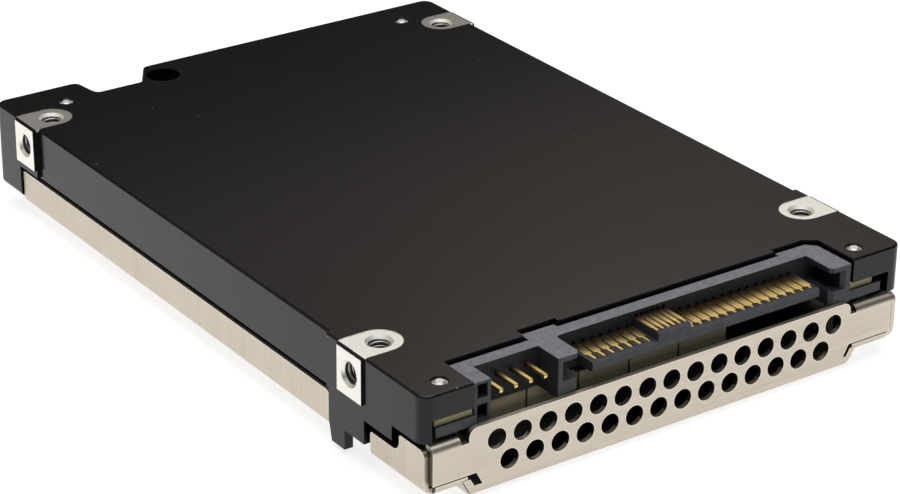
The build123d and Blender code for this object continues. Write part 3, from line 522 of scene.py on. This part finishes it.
        top_pads = mask_all(
            tree,
            [
                (diagonal(tree, inward, along), Limit.BELOW, self.pad_radius_mm * MM),
                (out, Limit.BELOW, high.x - self.paint_edge_mm * MM),
                (height, Limit.ABOVE, high.z - self.paint_edge_mm * MM),
            ],
        )
        side_pads = mask_all(
            tree,
            [
                (along, Limit.BELOW, self.pad_half_width_mm * MM),
                (out, Limit.ABOVE, high.x - self.pad_depth_mm * MM),
            ],
        )
        chips = []
        for centre_mm, radius_mm in self.chips_mm:
            gap = add_node(
                tree,
                "ShaderNodeVectorMath",
                {0: place, 1: Vector(centre_mm) * MM},
                operation="DISTANCE",
            )
            chips.append(mask_all(tree, [(gap.outputs["Value"], Limit.BELOW, radius_mm * MM)]))
        sinks = []
        bores = []
        for from_axis, depth, face_at in (
            (diagonal(tree, across, along), height, high.z),
            (diagonal(tree, rise, along), out, high.x),
        ):
            reach = (depth, Limit.ABOVE, face_at - self.hole_reach_mm * MM)
            sinks.append(mask_all(tree, [(from_axis, Limit.BELOW, self.sink_radius_mm * MM), reach]))
            bores.append(mask_all(tree, [(from_axis, Limit.BELOW, self.bore_radius_mm * MM), reach]))
        return mask_any(tree, [top_pads, side_pads, *sinks, *chips]), mask_any(tree, bores)


@dataclass(frozen=True)
class RolledSheet(Finish):
    """Rolled sheet whose grain runs across the flat blank and follows it through the folds.

    Its edges carry a painted highlight, and the sheared walls of its vents carry painted shade.
    """

    streak_mm: float = 0.22
    streak_length_mm: float = 12.0
    streak_colour: str = "#b3aa9c"
    streak_share: float = 0.12
    streak_start: float = 0.42
    # Painted highlight on the edges and folds.
    edge_highlight_colour: str = "#f6f1e6"
    edge_highlight_mm: float = 0.3
    edge_highlight_share: float = 0.8
    # Painted shade on the sheared walls of the vents and the upright ends of the front wall.
    sheared_wall_shade_colour: str = "#6a6258"
    sheared_mm: float = 0.7
    # Forward and upward parts of a normal under which a face counts as a sheared wall.
    sheared_tilt: float = 0.3
    sheared_rise: float = 0.5

    def grain_height(self, tree: NodeTree, place: NodeSocket) -> NodeSocket:
        """Streaks along X on the flat and on the front wall, and upright on the side walls.

        Args:
            tree: The material's tree.
            place: Object coordinates.

        Returns:
            The height of the streaks, about one half on average.
        """
        to_front = add_node(tree, "ShaderNodeMath", {0: face_axes(tree).outputs["Y"]}, operation="ABSOLUTE")
        upright = add_node(
            tree,
            "ShaderNodeMapRange",
            {
                "Value": to_front,
                "To Min": per_metre(self.streak_length_mm),
                "To Max": per_metre(self.streak_mm),
            },
        )
        scale = add_node(
            tree,
            "ShaderNodeCombineXYZ",
            {"X": per_metre(self.streak_length_mm), "Y": per_metre(self.streak_mm), "Z": upright},
        )
        drawn = add_node(tree, "ShaderNodeVectorMath", {0: place, 1: scale}, operation="MULTIPLY")
        streaks = add_node(
            tree,
            "ShaderNodeTexNoise",
            {"Vector": drawn, "Scale": 1.0, "Detail": self.grain_detail},
        )
        return streaks.outputs["Fac"]

    def surface_colour(self, tree: NodeTree, place: NodeSocket, grain: NodeSocket) -> Source:
        """Drifting colour with the darker lines of the grain, a painted highlight on the edges and painted
        shade on the sheared walls.

        Args:
            tree: The material's tree.
            place: Object coordinates.
            grain: Height of the streaks.

        Returns:
            The colour.
        """
        lines = add_node(
            tree,
            "ShaderNodeMapRange",
            {
                "Value": grain,
                "From Min": self.streak_start,
                "From Max": NOISE_HIGH,
                "To Max": self.streak_share,
            },
        )
        tone = Finish.surface_colour(self, tree, place, grain)
        for share, colour in (
            (lines, self.streak_colour),
            # Painted highlight on the edges.
            (edge_mask(tree, self.edge_highlight_mm, self.edge_highlight_share), self.edge_highlight_colour),
            # Painted shade on the sheared walls.
            (self.sheared_mask(tree, place), self.sheared_wall_shade_colour),
        ):
            tones = {"Factor": share, "A": tone, "B": linear(colour)}
            tone = add_node(tree, "ShaderNodeMix", tones, data_type="RGBA")
        return tone

    def sheared_mask(self, tree: NodeTree, place: NodeSocket) -> Node:
        """Find the sheared walls of the vents and the upright ends of the front wall, where shade is
        painted.

        Args:
            tree: The material's tree.
            place: Object coordinates.

        Returns:
            A mask that is one on those walls and zero elsewhere.
        """
        low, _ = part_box("bottom_cover")
        facing = face_axes(tree)
        axes = add_node(tree, "ShaderNodeSeparateXYZ", {"Vector": place})
        to_front = add_node(tree, "ShaderNodeMath", {0: facing.outputs["Y"]}, operation="ABSOLUTE")
        return mask_all(
            tree,
            [
                (to_front, Limit.BELOW, self.sheared_tilt),
                (facing.outputs["Z"], Limit.BELOW, self.sheared_rise),
                (axes.outputs["Y"], Limit.BELOW, low.y + self.sheared_mm * MM),
            ],
        )


@dataclass(frozen=True)
class PlatedContact(Finish):
    """Gold plate that is bright at the free tips and turns brown towards the moulding."""

    rear_brown_colour: str = "#5e4522"
    rear_brown_share: float = 0.9
    bright_mm: float = 0.9
    rear_brown_mm: float = 3.0
    ragged_mm: float = 1.2
    ragged_spot_mm: float = 1.0

    def surface_colour(self, tree: NodeTree, place: NodeSocket, grain: NodeSocket) -> Source:
        """Gold that turns brown with the distance from the tips, along a ragged line.

        Args:
            tree: The material's tree.
            place: Object coordinates.
            grain: Height of the grain.

        Returns:
            The colour.
        """
        plain = Finish.surface_colour(self, tree, place, grain)
        low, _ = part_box("power_contacts")
        axes = add_node(tree, "ShaderNodeSeparateXYZ", {"Vector": place})
        ragged = add_node(
            tree,
            "ShaderNodeTexNoise",
            {"Vector": place, "Scale": per_metre(self.ragged_spot_mm)},
        )
        reach = add_node(
            tree,
            "ShaderNodeMath",
            {0: ragged.outputs["Fac"], 1: self.ragged_mm * MM, 2: axes.outputs["Y"]},
            operation="MULTIPLY_ADD",
        )
        share = add_node(
            tree,
            "ShaderNodeMapRange",
            {
                "Value": reach,
                "From Min": low.y + (self.bright_mm + self.ragged_mm / 2) * MM,
                "From Max": low.y + (self.rear_brown_mm + self.ragged_mm / 2) * MM,
                "To Max": self.rear_brown_share,
            },
        )
        tones = {"Factor": share, "A": plain, "B": linear(self.rear_brown_colour)}
        return add_node(tree, "ShaderNodeMix", tones, data_type="RGBA")


@dataclass(frozen=True)
class HighlightBandCase(Finish):
    """Moulded case with a painted highlight as a paler band along its upper edge."""

    # Painted highlight along the upper edge of the case.
    highlight_band_colour: str = "#d8cba4"
    band_low_mm: float = 1.6
    band_high_mm: float = 0.5

    def surface_colour(self, tree: NodeTree, place: NodeSocket, grain: NodeSocket) -> Source:
        """Case colour with a painted highlight that pales it towards the top of the case.

        Args:
            tree: The material's tree.
            place: Object coordinates.
            grain: Height of the grain.

        Returns:
            The colour.
        """
        plain = Finish.surface_colour(self, tree, place, grain)
        _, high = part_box("hold_up_capacitors")
        axes = add_node(tree, "ShaderNodeSeparateXYZ", {"Vector": place})
        share = add_node(
            tree,
            "ShaderNodeMapRange",
            {
                "Value": axes.outputs["Z"],
                "From Min": high.z - self.band_low_mm * MM,
                "From Max": high.z - self.band_high_mm * MM,
            },
        )
        tones = {"Factor": share, "A": plain, "B": linear(self.highlight_band_colour)}
        return add_node(tree, "ShaderNodeMix", tones, data_type="RGBA")


@dataclass(frozen=True)
class DustAndLightMoulding(Finish):
    """Moulding whose upper and front faces are paler: partly dust and handling, partly painted light on the
    faces that look up and forwards.
    """

    # Pale tone of dust and of painted light on the upper and front faces.
    dust_and_light_colour: str = "#909197"
    dust_and_light_share: float = 0.8
    thin_dust_and_light_share: float = 0.48
    dust_and_light_reach_mm: float = 0.6
    front_wear_and_light_share: float = 0.55
    front_reach_mm: float = 2.5
    smudge_mm: float = 0.8
    smudge_detail: float = 5.0

    def surface_colour(self, tree: NodeTree, place: NodeSocket, grain: NodeSocket) -> Source:
        """Moulding colour, with pale smudges on the highest faces and on the foremost ones, which are dust
        and painted light together.

        Args:
            tree: The material's tree.
            place: Object coordinates.
            grain: Height of the grain.

        Returns:
            The colour.
        """
        plain = Finish.surface_colour(self, tree, place, grain)
        low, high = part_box("connector_housing")
        axes = add_node(tree, "ShaderNodeSeparateXYZ", {"Vector": place})
        facing = face_axes(tree)
        is_high = mask_all(tree, [(axes.outputs["Z"], Limit.ABOVE, high.z - self.dust_and_light_reach_mm * MM)])
        is_front = mask_all(tree, [(axes.outputs["Y"], Limit.BELOW, low.y + self.front_reach_mm * MM)])
        # Paler by how far a face turns up or forwards: dust and painted light.
        dust_and_top_light = add_node(
            tree,
            "ShaderNodeMath",
            {0: facing.outputs["Z"], 1: is_high},
            operation="MULTIPLY",
            use_clamp=True,
        )
        to_front = add_node(
            tree,
            "ShaderNodeMath",
            {0: facing.outputs["Y"], 1: -self.front_wear_and_light_share},
            operation="MULTIPLY",
            use_clamp=True,
        )
        wear_and_front_light = add_node(tree, "ShaderNodeMath", {0: to_front, 1: is_front}, operation="MULTIPLY")
        dust_and_light_faces = add_node(tree, "ShaderNodeMath", {0: dust_and_top_light, 1: wear_and_front_light}, operation="MAXIMUM")
        smudge = add_node(
            tree,
            "ShaderNodeTexNoise",
            {"Vector": place, "Scale": per_metre(self.smudge_mm), "Detail": self.smudge_detail},
        )
        share = add_node(
            tree,
            "ShaderNodeMapRange",
            {
                "Value": smudge.outputs["Fac"],
                "From Min": NOISE_LOW,
                "From Max": NOISE_HIGH,
                "To Min": self.thin_dust_and_light_share,
                "To Max": self.dust_and_light_share,
            },
        )
        dust_and_light_mix = add_node(tree, "ShaderNodeMath", {0: dust_and_light_faces, 1: share}, operation="MULTIPLY")
        tones = {"Factor": dust_and_light_mix, "A": plain, "B": linear(self.dust_and_light_colour)}
        return add_node(tree, "ShaderNodeMix", tones, data_type="RGBA")


@dataclass(frozen=True)
class BoardLaminate(Finish):
    """Solder mask over a board's faces, with the sawn glass-fibre edge in layers."""

    edge_colour: str = "#f9f0ac"
    layer_colour: str = "#e2d99a"
    layer_mm: float = 0.2
    # Upward or downward part of a normal past which a face counts as level.
    level_rise: float = 0.5

    def surface_colour(self, tree: NodeTree, place: NodeSocket, grain: NodeSocket) -> Source:
        """Mask colour on level faces, and stripes of the layers on the edges.

        Args:
            tree: The material's tree.
            place: Object coordinates.
            grain: Height of the grain.

        Returns:
            The colour.
        """
        mask = Finish.surface_colour(self, tree, place, grain)
        axes = add_node(tree, "ShaderNodeSeparateXYZ", {"Vector": place})
        turns = add_node(
            tree,
            "ShaderNodeMath",
            {0: axes.outputs["Z"], 1: 2 * math.pi / (self.layer_mm * MM)},
            operation="MULTIPLY",
        )
        wave = add_node(tree, "ShaderNodeMath", {0: turns}, operation="SINE")
        tones = {"Factor": wave, "A": linear(self.edge_colour), "B": linear(self.layer_colour)}
        stripes = add_node(tree, "ShaderNodeMix", tones, data_type="RGBA")
        slope = add_node(tree, "ShaderNodeMath", {0: face_axes(tree).outputs["Z"]}, operation="ABSOLUTE")
        is_level = mask_all(tree, [(slope, Limit.ABOVE, self.level_rise)])
        tones = {"Factor": is_level, "A": stripes, "B": mask}
        return add_node(tree, "ShaderNodeMix", tones, data_type="RGBA")


# Baked black paint: near black, satin, with the faint orange peel of a sprayed coat.
BLACK_PAINT = PaintOnCasting(
    "black_paint_on_cast_aluminium",
    colour="#151414",
    drift_colour="#191818",
    roughness=0.2,
    roughness_swing=0.02,
    grain_mm=0.5,
    relief=0.01,
    specular=0.32,
)
# Cold-rolled sheet: warm grey metal with the rolling grain drawn out in fine lines.
SHEET_STEEL = RolledSheet(
    "cold_rolled_steel_sheet",
    colour="#d9cfbe",
    drift_colour="#cec4b3",
    roughness=0.44,
    metallic=1.0,
    drift_mm=5.0,
    relief=0.02,
)
# Glass-filled moulding: slate grey, with the dull skin that the fibres leave.
CONNECTOR_PLASTIC = DustAndLightMoulding(
    "glass_filled_moulding",
    colour="#3d3e43",
    drift_colour="#35363b",
    roughness=0.5,
    drift_mm=2.0,
    grain_mm=0.12,
    relief=0.08,
    specular=0.3,
)
# Gold flash over nickel: pale yellow metal at the tips, browner towards the moulding.
GOLD_PLATE = PlatedContact(
    "gold_plated_bronze",
    colour="#f9e39b",
    drift_colour="#e2c274",
    roughness=0.4,
    metallic=1.0,
    drift_mm=2.5,
    grain_mm=0.3,
    relief=0.02,
)
# Board laminate: dark mask on the faces, straw-coloured fibre on the cut edge.
LAMINATE = BoardLaminate(
    "glass_epoxy_laminate",
    colour="#0c0f0d",
    drift_colour="#11150f",
    roughness=0.4,
    drift_mm=4.0,
    grain_mm=0.3,
)
# Moulded epoxy: black and matte, with a fine sandy skin.
PACKAGE_EPOXY = Finish(
    "moulded_epoxy",
    colour="#18181a",
    drift_colour="#1e1e20",
    roughness=0.6,
    grain_mm=0.1,
    relief=0.1,
)
# Polymer capacitor case: olive brown, semi-gloss moulding.
CAPACITOR_CASE = HighlightBandCase(
    "olive_epoxy_case",
    colour="#8d8367",
    drift_colour="#786f57",
    roughness=0.4,
    drift_mm=3.0,
)
# Pressed iron powder: dull dark grey and slightly rough.
IRON_POWDER = Finish(
    "pressed_iron_powder",
    colour="#4b4b4a",
    drift_colour="#3d3d3d",
    roughness=0.7,
    grain_mm=0.15,
    relief=0.2,
)
# Filled silicone: pale blue-grey, soft and dull.
THERMAL_SILICONE = Finish(
    "filled_silicone_pad",
    colour="#8f9bb0",
    drift_colour="#8390a6",
    roughness=0.8,
    grain_mm=0.4,
    relief=0.15,
)
# Zinc plate over steel: bright grey metal with a fine matte grain.
ZINC_STEEL = Finish(
    "zinc_plated_steel",
    colour="#f7f6f1",
    drift_colour="#e9e8e2",
    roughness=0.5,
    metallic=1.0,
    drift_mm=0.8,
    grain_mm=0.1,
)
# Tapped aluminium: the grey metal of the cut thread, dulled by the tap's tearing.
CUT_ALUMINIUM = Finish(
    "tapped_aluminium",
    colour="#cfcdc6",
    drift_colour="#b5b3ac",
    roughness=0.35,
    metallic=1.0,
    drift_mm=0.8,
    grain_mm=0.1,
)
# Nickel plate over brass: slightly yellow bright metal.
NICKEL_BRASS = Finish(
    "nickel_plated_brass",
    colour="#cdc6b2",
    drift_colour="#bfb8a2",
    roughness=0.28,
    metallic=1.0,
    drift_mm=1.0,
    grain_mm=0.1,
    relief=0.04,
)
# Socket moulding: black plastic, a little glossier than the packages.
SOCKET_PLASTIC = Finish(
    "black_socket_moulding",
    colour="#141414",
    drift_colour="#1a1a1a",
    roughness=0.45,
    grain_mm=0.12,
    relief=0.06,
)

NODE_FINISHES = {
    "base_casting": BLACK_PAINT,
    "bottom_cover": SHEET_STEEL,
    "connector_housing": CONNECTOR_PLASTIC,
    "signal_contacts": GOLD_PLATE,
    "key_contacts": GOLD_PLATE,
    "power_contacts": GOLD_PLATE,
    "second_port_contacts": GOLD_PLATE,
    "jumper_pins": GOLD_PLATE,
    "main_board": LAMINATE,
    "second_board": LAMINATE,
    "board_plug": SOCKET_PLASTIC,
    "board_receptacle": SOCKET_PLASTIC,
    "controller_chip": PACKAGE_EPOXY,
    "memory_chips": PACKAGE_EPOXY,
    "main_flash_packages": PACKAGE_EPOXY,
    "second_flash_packages": PACKAGE_EPOXY,
    "hold_up_capacitors": CAPACITOR_CASE,
    "power_inductors": IRON_POWDER,
    "base_thermal_pads": THERMAL_SILICONE,
    "cover_thermal_pads": THERMAL_SILICONE,
    "standoffs": NICKEL_BRASS,
    "board_screws": ZINC_STEEL,
    "cover_screws": ZINC_STEEL,
}


class Wardrobe:
    """Builds each finish once and puts it on the pieces."""

    def __init__(self) -> None:
        """Start with no material built."""
        self.built: dict[str, Material] = {}

    def material(self, finish: Finish) -> Material:
        """Give the material of a finish, built on first use.

        Args:
            finish: The finish.

        Returns:
            Its material.
        """
        if finish.name not in self.built:
            self.built[finish.name] = finish.build()
        return self.built[finish.name]

    def dress_nodes(self) -> None:
        """Put each frame node's finish on its object."""
        for name, finish in NODE_FINISHES.items():
            slots = frame["nodes"][name].data.materials
            slots.clear()
            slots.append(self.material(finish))
            LOG.info("%s wears %s", name, finish.name)


def run_tree(target: BlenderObject, tree: NodeTree, values: dict[str, Any]) -> BlenderObject:
    """Run a geometry tree on an object and keep the result as a plain mesh.

    Args:
        target: The object whose mesh goes in.
        tree: The geometry tree.
        values: Input name to value.

    Returns:
        The same object, holding the finished mesh and no modifier.
    """
    modifier = target.modifiers.new(tree.name, "NODES")
    modifier.node_group = tree
    for item in tree.interface.items_tree:
        if item.item_type == "SOCKET" and item.in_out == "INPUT" and item.name in values:
            modifier[item.identifier] = values[item.name]
    graph = bpy.context.evaluated_depsgraph_get()
    graph.update()
    made = bpy.data.meshes.new_from_object(target.evaluated_get(graph))
    target.modifiers.remove(modifier)
    target.data = made
    return target


def thread_tree() -> NodeTree:
    """Tree that puts a spiral thread at each point of a mesh.

    Returns:
        A geometry tree with inputs for radius, length, turns, depth, turn and finish.
    """
    tree = bpy.data.node_groups.new("spiral_threads", "GeometryNodeTree")
    tree.interface.new_socket(name="Geometry", in_out="OUTPUT", socket_type="NodeSocketGeometry")
    for name, kind in (
        ("Geometry", "NodeSocketGeometry"),
        ("Radius", "NodeSocketFloat"),
        ("Length", "NodeSocketFloat"),
        ("Turns", "NodeSocketFloat"),
        ("Depth", "NodeSocketFloat"),
        ("Turn", "NodeSocketVector"),
        ("Finish", "NodeSocketMaterial"),
    ):
        tree.interface.new_socket(name=name, in_out="INPUT", socket_type=kind)
    sizes = add_node(tree, "NodeGroupInput").outputs
    spiral = add_node(
        tree,
        "GeometryNodeCurveSpiral",
        {
            "Resolution": TURN_STEPS,
            "Rotations": sizes["Turns"],
            "Start Radius": sizes["Radius"],
            "End Radius": sizes["Radius"],
            "Height": sizes["Length"],
        },
    )
    ridge = add_node(
        tree,
        "GeometryNodeCurvePrimitiveCircle",
        {"Resolution": RIDGE_SIDES, "Radius": sizes["Depth"]},
    )
    thread = add_node(
        tree,
        "GeometryNodeCurveToMesh",
        {"Curve": spiral, "Profile Curve": ridge, "Fill Caps": True},
    )
    turn = add_node(tree, "FunctionNodeEulerToRotation", {0: sizes["Turn"]})
    placed = add_node(
        tree,
        "GeometryNodeInstanceOnPoints",
        {"Points": sizes["Geometry"], "Instance": thread, "Rotation": turn},
    )
    real = add_node(tree, "GeometryNodeRealizeInstances", {"Geometry": placed})
    dressed = add_node(
        tree,
        "GeometryNodeSetMaterial",
        {"Geometry": real, "Material": sizes["Finish"]},
    )
    add_node(tree, "NodeGroupOutput", {0: dressed})
    return tree


@dataclass(frozen=True)
class Thread:
    """Size and finish of one kind of thread."""

    radius_mm: float
    length_mm: float
    pitch_mm: float
    ridge_mm: float
    finish: Finish


@dataclass
class MountingThreads:
    """Threads in the mounting holes and on the tips of the cover screws."""

    wardrobe: Wardrobe
    hole_length_mm: float = 3.2
    hole_pitch_mm: float = 0.5
    hole_ridge_mm: float = 0.2
    sink_mm: float = 0.55
    side_length_mm: float = 1.7
    tip_pitch_mm: float = 0.4
    tip_length_mm: float = 1.0
    tip_ridge_mm: float = 0.12
    tip_cone_mm: float = 0.1
    tip_radius_mm: float = 0.9

    def build(self) -> None:
        """Make the threads of every hole and screw."""
        tree = thread_tree()
        self.make_holes(tree)
        self.make_tips(tree)

    def hole_thread(self, length_mm: float) -> Thread:
        """Give the thread of a mounting hole.

        Args:
            length_mm: Length of the threaded stretch.

        Returns:
            The thread, as wide as the hole.
        """
        radius_mm = mount("face_holes")["dims"]["hole_r_mm"]
        return Thread(radius_mm, length_mm, self.hole_pitch_mm, self.hole_ridge_mm, CUT_ALUMINIUM)

    def make_holes(self, tree: NodeTree) -> None:
        """Make the threads in the holes of the top and of both sides.

        Args:
            tree: The thread tree.
        """
        face = mount("face_holes")
        half_x = face["dims"]["spacing_x_mm"] / 2 * MM
        half_y = face["dims"]["spacing_y_mm"] / 2 * MM
        rows = [face["pos_m"][1] - half_y, face["pos_m"][1] + half_y]
        _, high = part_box("base_casting")
        bottom = high.z - (self.sink_mm + self.hole_length_mm) * MM
        points = [(side * half_x, row, bottom) for side in (-1, 1) for row in rows]
        self.make(tree, "face_hole_threads", points, HoleFace.TOP, self.hole_thread(self.hole_length_mm))
        height = mount("left_side_holes")["pos_m"][2]
        inner = high.x - (self.sink_mm + self.side_length_mm) * MM
        for side, way in ((-1, HoleFace.LEFT), (1, HoleFace.RIGHT)):
            points = [(side * inner, row, height) for row in rows]
            name = f"{way.name.lower()}_hole_threads"
            self.make(tree, name, points, way, self.hole_thread(self.side_length_mm))

    def make_tips(self, tree: NodeTree) -> None:
        """Make the threads under the cones of the screw tips.

        Args:
            tree: The thread tree.
        """
        corners: dict[tuple[bool, bool], list[Vector]] = {}
        for vertex in frame["nodes"]["cover_screws"].data.vertices:
            corners.setdefault((vertex.co.x > 0, vertex.co.y > 0), []).append(vertex.co)
        points = []
        for corner in corners.values():
            across = [place.x for place in corner]
            along = [place.y for place in corner]
            bottom = max(place.z for place in corner) - (self.tip_cone_mm + self.tip_length_mm) * MM
            points.append(((min(across) + max(across)) / 2, (min(along) + max(along)) / 2, bottom))
        thread = Thread(
            self.tip_radius_mm,
            self.tip_length_mm,
            self.tip_pitch_mm,
            self.tip_ridge_mm,
            ZINC_STEEL,
        )
        self.make(tree, "screw_tip_threads", points, HoleFace.TOP, thread)

    def make(self, tree: NodeTree, name: str, points: list[Point], way: HoleFace, thread: Thread) -> None:
        """Make one group of threads.

        Args:
            tree: The thread tree.
            name: Name of the new piece.
            points: Inner ends of the threads.
            way: The way in which the threads face.
            thread: Size and finish of the threads.
        """
        mesh = bpy.data.meshes.new(name)
        mesh.from_pydata(points, [], [])
        values = {
            "Radius": thread.radius_mm * MM,
            "Length": thread.length_mm * MM,
            "Turns": thread.length_mm / thread.pitch_mm,
            "Depth": thread.ridge_mm * MM,
            "Turn": way.value,
            "Finish": self.wardrobe.material(thread.finish),
        }
        piece = run_tree(new_object(name, mesh), tree, values)
        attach(piece, BODY)
        LOG.info("%s: %d polygons", name, len(piece.data.polygons))


@dataclass(frozen=True)
class SoftLamp:
    """A soft lamp that hangs at a place in metres and faces the drive."""

    name: str
    place: Point
    shape: LampShape
    width: float
    height: float
    power: float

    def hang(self, colour: str) -> None:
        """Make the lamp.

        Args:
            colour: Colour of the light, as sRGB hex.
        """
        data = bpy.data.lights.new(self.name, "AREA")
        data.shape = self.shape.value
        data.size = self.width
        data.size_y = self.height
        data.energy = self.power
        data.color = linear(colour)[:3]
        lamp = bpy.data.objects.new(self.name, data)
        lamp.visible_camera = False
        bpy.context.scene.collection.objects.link(lamp)
        place = Vector(self.place)
        aim = place.to_track_quat("Z", "Y").to_matrix().to_4x4()
        lamp.matrix_world = Matrix.Translation(place) @ aim


# A round softbox behind the drive, to the right, that grades the gloss of the top.
REAR_SOFTBOX = SoftLamp(
    "rear_softbox",
    place=(0.532, 0.551, 0.643),
    shape=LampShape.ROUND,
    width=0.36,
    height=0.36,
    power=0.39,
)
# A wide dim panel close behind the drive, whose lower edge darkens the rear of the top.
REAR_PANEL = SoftLamp(
    "rear_panel",
    place=(0.001, 0.171, 0.223),
    shape=LampShape.OBLONG,
    width=0.74,
    height=0.25,
    power=0.15,
)


@dataclass(frozen=True)
class Studio:
    """Floor, light and camera."""

    camera_mm: Point = (-188.4, -271.15, 160.1)
    azimuth_deg: float = 35.31
    elevation_deg: float = 25.4
    roll_deg: float = 0.55
    focal_px: float = 2885.8
    floor_reach: float = 4.0
    floor_colour: str = "#a8a8a8"
    floor_white: str = "#ffffff"
    floor_glow: float = 0.79
    lamp_colour: str = "#fff3e8"
    dome_colour: str = "#fbfcff"
    dome_low: float = 0.02
    dome_high: float = 2.9
    # Upward parts of a direction at which the cloth overhead begins, and is at its brightest.
    dome_edge: float = 0.78
    dome_full: float = 0.93

    def build(self) -> None:
        """Make the whole studio."""
        bpy.context.scene.view_settings.view_transform = "Standard"
        self.place_camera()
        self.lay_floor()
        self.light_world()
        for lamp in (REAR_SOFTBOX, REAR_PANEL):
            lamp.hang(self.lamp_colour)

    def place_camera(self) -> None:
        """Set the camera at the photograph's viewpoint."""
        azimuth = math.radians(self.azimuth_deg)
        elevation = math.radians(self.elevation_deg)
        roll = math.radians(self.roll_deg)
        level = math.cos(elevation)
        forward = Vector((math.sin(azimuth) * level, math.cos(azimuth) * level, -math.sin(elevation)))
        right = forward.cross(Vector((0, 0, 1))).normalized()
        up = right.cross(forward)
        turned = math.cos(roll) * right + math.sin(roll) * up
        upright = math.cos(roll) * up - math.sin(roll) * right
        data = bpy.data.cameras.new("camera")
        data.sensor_width = SENSOR_WIDTH
        data.lens = self.focal_px * SENSOR_WIDTH / IMAGE_WIDTH
        camera = bpy.data.objects.new("camera", data)
        bpy.context.scene.collection.objects.link(camera)
        turn = Matrix((turned, upright, -forward)).transposed().to_4x4()
        camera.matrix_world = Matrix.Translation(Vector(self.camera_mm) * MM) @ turn
        bpy.context.scene.camera = camera

    def lay_floor(self) -> None:
        """Lay a white floor that glows for the eye and for mirrors, and keeps the shadow."""
        mesh = bpy.data.meshes.new("floor")
        reach = self.floor_reach
        corners = [(-reach, -reach, 0), (reach, -reach, 0), (reach, reach, 0), (-reach, reach, 0)]
        mesh.from_pydata(corners, [], [(0, 1, 2, 3)])
        material = bpy.data.materials.new("white_floor")
        material.use_nodes = True
        tree = material.node_tree
        tree.nodes.clear()
        rays = add_node(tree, "ShaderNodeLightPath").outputs
        seen = rays["Is Camera Ray"]
        for ray in (rays["Is Glossy Ray"], rays["Is Transmission Ray"]):
            seen = add_node(tree, "ShaderNodeMath", {0: seen, 1: ray}, operation="MAXIMUM")
        glow = add_node(tree, "ShaderNodeMath", {0: seen, 1: self.floor_glow}, operation="MULTIPLY")
        matte = add_node(tree, "ShaderNodeBsdfDiffuse", {"Color": linear(self.floor_colour)})
        light = add_node(tree, "ShaderNodeEmission", {"Color": linear(self.floor_white), "Strength": glow})
        both = add_node(tree, "ShaderNodeAddShader", {0: matte, 1: light})
        add_node(tree, "ShaderNodeOutputMaterial", {"Surface": both})
        mesh.materials.append(material)
        new_object("floor", mesh)

    def light_world(self) -> None:
        """Light from a studio that is dark round the sides, with a wide pale cloth overhead."""
        world = bpy.data.worlds.new("studio")
        world.use_nodes = True
        tree = world.node_tree
        tree.nodes.clear()
        way = add_node(tree, "ShaderNodeTexCoord").outputs["Generated"]
        axes = add_node(tree, "ShaderNodeSeparateXYZ", {"Vector": way})
        height = add_node(
            tree,
            "ShaderNodeMapRange",
            {
                "Value": axes.outputs["Z"],
                "From Min": self.dome_edge,
                "From Max": self.dome_full,
                "To Min": self.dome_low,
                "To Max": self.dome_high,
            },
            interpolation_type="SMOOTHSTEP",
        )
        sky = add_node(
            tree,
            "ShaderNodeBackground",
            {"Color": linear(self.dome_colour), "Strength": height},
        )
        add_node(tree, "ShaderNodeOutputWorld", {"Surface": sky})
        bpy.context.scene.world = world


def main() -> None:
    """Dress the frame, add the fine pieces and set the studio."""
    logging.basicConfig(level=logging.INFO, format="%(message)s")
    wardrobe = Wardrobe()
    wardrobe.dress_nodes()
    MountingThreads(wardrobe).build()
    Studio().build()


if __name__ == "__main__":
    main()
